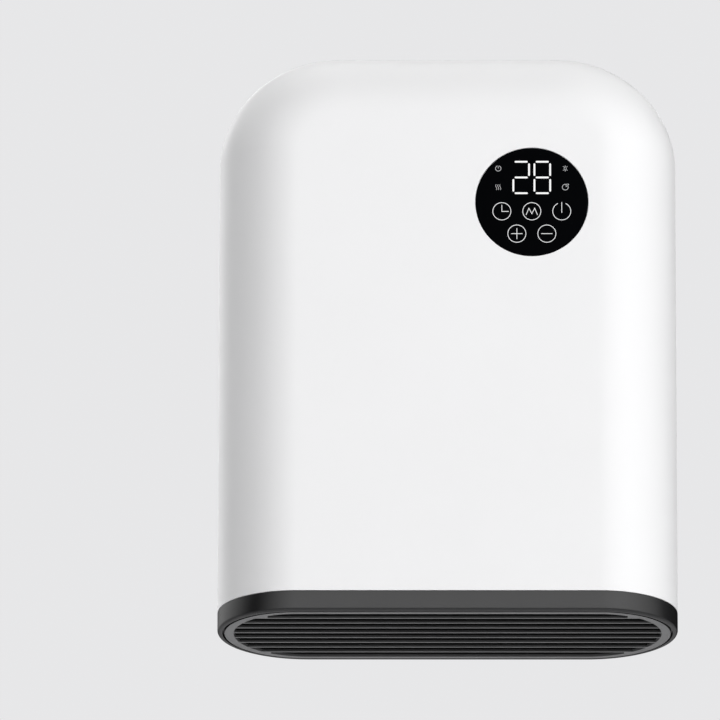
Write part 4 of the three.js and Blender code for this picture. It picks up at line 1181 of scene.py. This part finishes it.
def place_camera():
    """A long lens from below, turned a little so that the heater sits right of the middle."""
    data = bpy.data.cameras.new("camera")
    data.sensor_width = SENSOR
    data.lens = PIXELS_PER_METRE * CAMERA_DISTANCE / IMAGE_SIDE * SENSOR
    data.clip_end = VIEW_END
    camera = bpy.data.objects.new("camera", data)
    bpy.context.scene.collection.objects.link(camera)
    bpy.context.scene.camera = camera
    ahead = Vector((0, math.cos(CAMERA_BELOW), math.sin(CAMERA_BELOW)))
    upward = Vector((0, -math.sin(CAMERA_BELOW), math.cos(CAMERA_BELOW)))
    eye = MIDDLE - ahead * CAMERA_DISTANCE
    across, up = (pixels / PIXELS_PER_METRE for pixels in OFF_CENTRE)
    target = MIDDLE - Vector((across, 0, 0)) - upward * up
    back = (eye - target).normalized()
    right = upward.cross(back).normalized()
    turn = Matrix((right, back.cross(right), back)).transposed()
    camera.matrix_world = Matrix.Translation(eye) @ turn.to_4x4()


LAMP_DISTANCE = 4


def softbox(name, azimuth, elevation, wide, tall, strength):
    """A lamp panel that faces the heater. Azimuth 0 is in front and 90 to the right. Mirror
    images of it are left to the room, which has broader and softer patches."""
    data = bpy.data.lights.new(name, "AREA")
    data.shape = "RECTANGLE"
    data.size = wide
    data.size_y = tall
    data.energy = strength * LAMP_DISTANCE ** 2
    lamp = bpy.data.objects.new(name, data)
    lamp.visible_glossy = False
    bpy.context.scene.collection.objects.link(lamp)
    a, e = math.radians(azimuth), math.radians(elevation)
    out = Vector((math.sin(a) * math.cos(e), -math.cos(a) * math.cos(e), math.sin(e)))
    lamp.location = MIDDLE + out * LAMP_DISTANCE
    lamp.rotation_mode = "QUATERNION"
    lamp.rotation_quaternion = out.to_track_quat("Z", "Y")


PALE = (0.8, 0.8, 0.81)
PURE_WHITE = (1, 1, 1)
AMBIENT = 0.35
ROOM_FRONT = (0.454, -0.891, 0)  # where the mirrored room is bright: in front, to the right
ROOM_BACK = (-0.79, 0.55, 0.28)  # and where it is pale: behind, to the left and above
FLOOR_LEVEL = -2.6
FLOOR_SIDE = 60
FLOOR_ROUGHNESS = 0.9
FLOOR_EVEN = 0.85  # how much of the floor's own shading the eye sees evened out


def mixed(tree, factor, first, second):
    """A shader from the first to the second along the factor."""
    node = tree.nodes.new("ShaderNodeMixShader")
    tree.links.new(factor, node.inputs["Fac"])
    tree.links.new(first, node.inputs[1])
    tree.links.new(second, node.inputs[2])
    return node.outputs["Shader"]


def patch(tree, towards, dark_at, strength):
    """A soft bright patch of the mirrored room round one direction, as a strength output."""
    place = tree.nodes.new("ShaderNodeTexCoord")
    facing = tree.nodes.new("ShaderNodeVectorMath")
    facing.operation = "DOT_PRODUCT"
    facing.inputs[1].default_value = towards
    tree.links.new(place.outputs["Generated"], facing.inputs[0])
    ramp = tree.nodes.new("ShaderNodeMapRange")
    ramp.inputs["From Min"].default_value = dark_at
    ramp.inputs["To Max"].default_value = strength
    tree.links.new(facing.outputs["Value"], ramp.inputs["Value"])
    return ramp.outputs["Result"]


def pale_world():
    """A pale backdrop for the eye, a weaker even light on surfaces, and for reflections a dark
    room with a bright side in front and a pale one behind."""
    world = bpy.data.worlds.new("studio")
    bpy.context.scene.world = world
    world.use_nodes = True
    tree = world.node_tree
    path = tree.nodes.new("ShaderNodeLightPath")

    def background(colour, strength):
        node = tree.nodes.new("ShaderNodeBackground")
        node.inputs["Color"].default_value = (*colour, 1)
        node.inputs["Strength"].default_value = strength
        return node

    total = tree.nodes.new("ShaderNodeMath")
    total.operation = "ADD"
    bright_side = patch(tree, ROOM_FRONT, dark_at=0, strength=1.95)
    tree.links.new(bright_side, total.inputs[0])
    pale_side = patch(tree, ROOM_BACK, dark_at=0.72, strength=0.85)
    tree.links.new(pale_side, total.inputs[1])
    room = background(PURE_WHITE, 1)
    tree.links.new(total.outputs["Value"], room.inputs["Strength"])
    shown = background(PALE, 1).outputs["Background"]
    light = background(PURE_WHITE, AMBIENT).outputs["Background"]
    mirrored = mixed(tree, path.outputs["Is Glossy Ray"], light, room.outputs["Background"])
    through = mixed(tree, path.outputs["Is Transmission Ray"], mirrored, shown)
    seen = mixed(tree, path.outputs["Is Camera Ray"], through, shown)
    tree.links.new(seen, tree.nodes["World Output"].inputs["Surface"])


def pale_floor():
    """A plain floor under the heater, open to a view from below. The eye sees it more even
    than the lamps make it, and it still takes the heater's shadow."""
    half = FLOOR_SIDE / 2
    corners = ((-half, -half), (half, -half), (half, half), (-half, half))
    floor = solid("floor", lambda shape: shape.faces.new(
        [shape.verts.new((x, y, FLOOR_LEVEL)) for x, y in corners]))
    nodes = Nodes("pale_floor")
    nodes.set(Base_Color=(*PALE, 1), Roughness=FLOOR_ROUGHNESS)
    plain = nodes.add("ShaderNodeEmission")
    plain.inputs["Color"].default_value = (*PALE, 1)
    path = nodes.add("ShaderNodeLightPath")
    share = nodes.add("ShaderNodeMath", operation="MULTIPLY")
    share.inputs[1].default_value = FLOOR_EVEN
    nodes.join(path.outputs["Is Camera Ray"], share.inputs[0])
    evened = mixed(nodes.tree, share.outputs["Value"], nodes.shader.outputs["BSDF"],
                   plain.outputs["Emission"])
    below = nodes.add("ShaderNodeNewGeometry").outputs["Backfacing"]
    clear = nodes.add("ShaderNodeBsdfTransparent").outputs["BSDF"]
    nodes.join(mixed(nodes.tree, below, evened, clear),
               nodes.tree.nodes["Material Output"].inputs["Surface"])
    floor.data.materials.append(nodes.material)


place_camera()
softbox("key_light", azimuth=33, elevation=10, wide=4.6, tall=2.4, strength=8.8)
softbox("left_light", azimuth=-105, elevation=35, wide=1.6, tall=1.6, strength=1.8)
softbox("rim_light", azimuth=-148, elevation=5, wide=0.8, tall=0.8, strength=4.3)
softbox("top_light", azimuth=-155, elevation=62, wide=1.2, tall=1.2, strength=3.3)
pale_world()
pale_floor()
bpy.context.scene.view_settings.view_transform = "Standard"
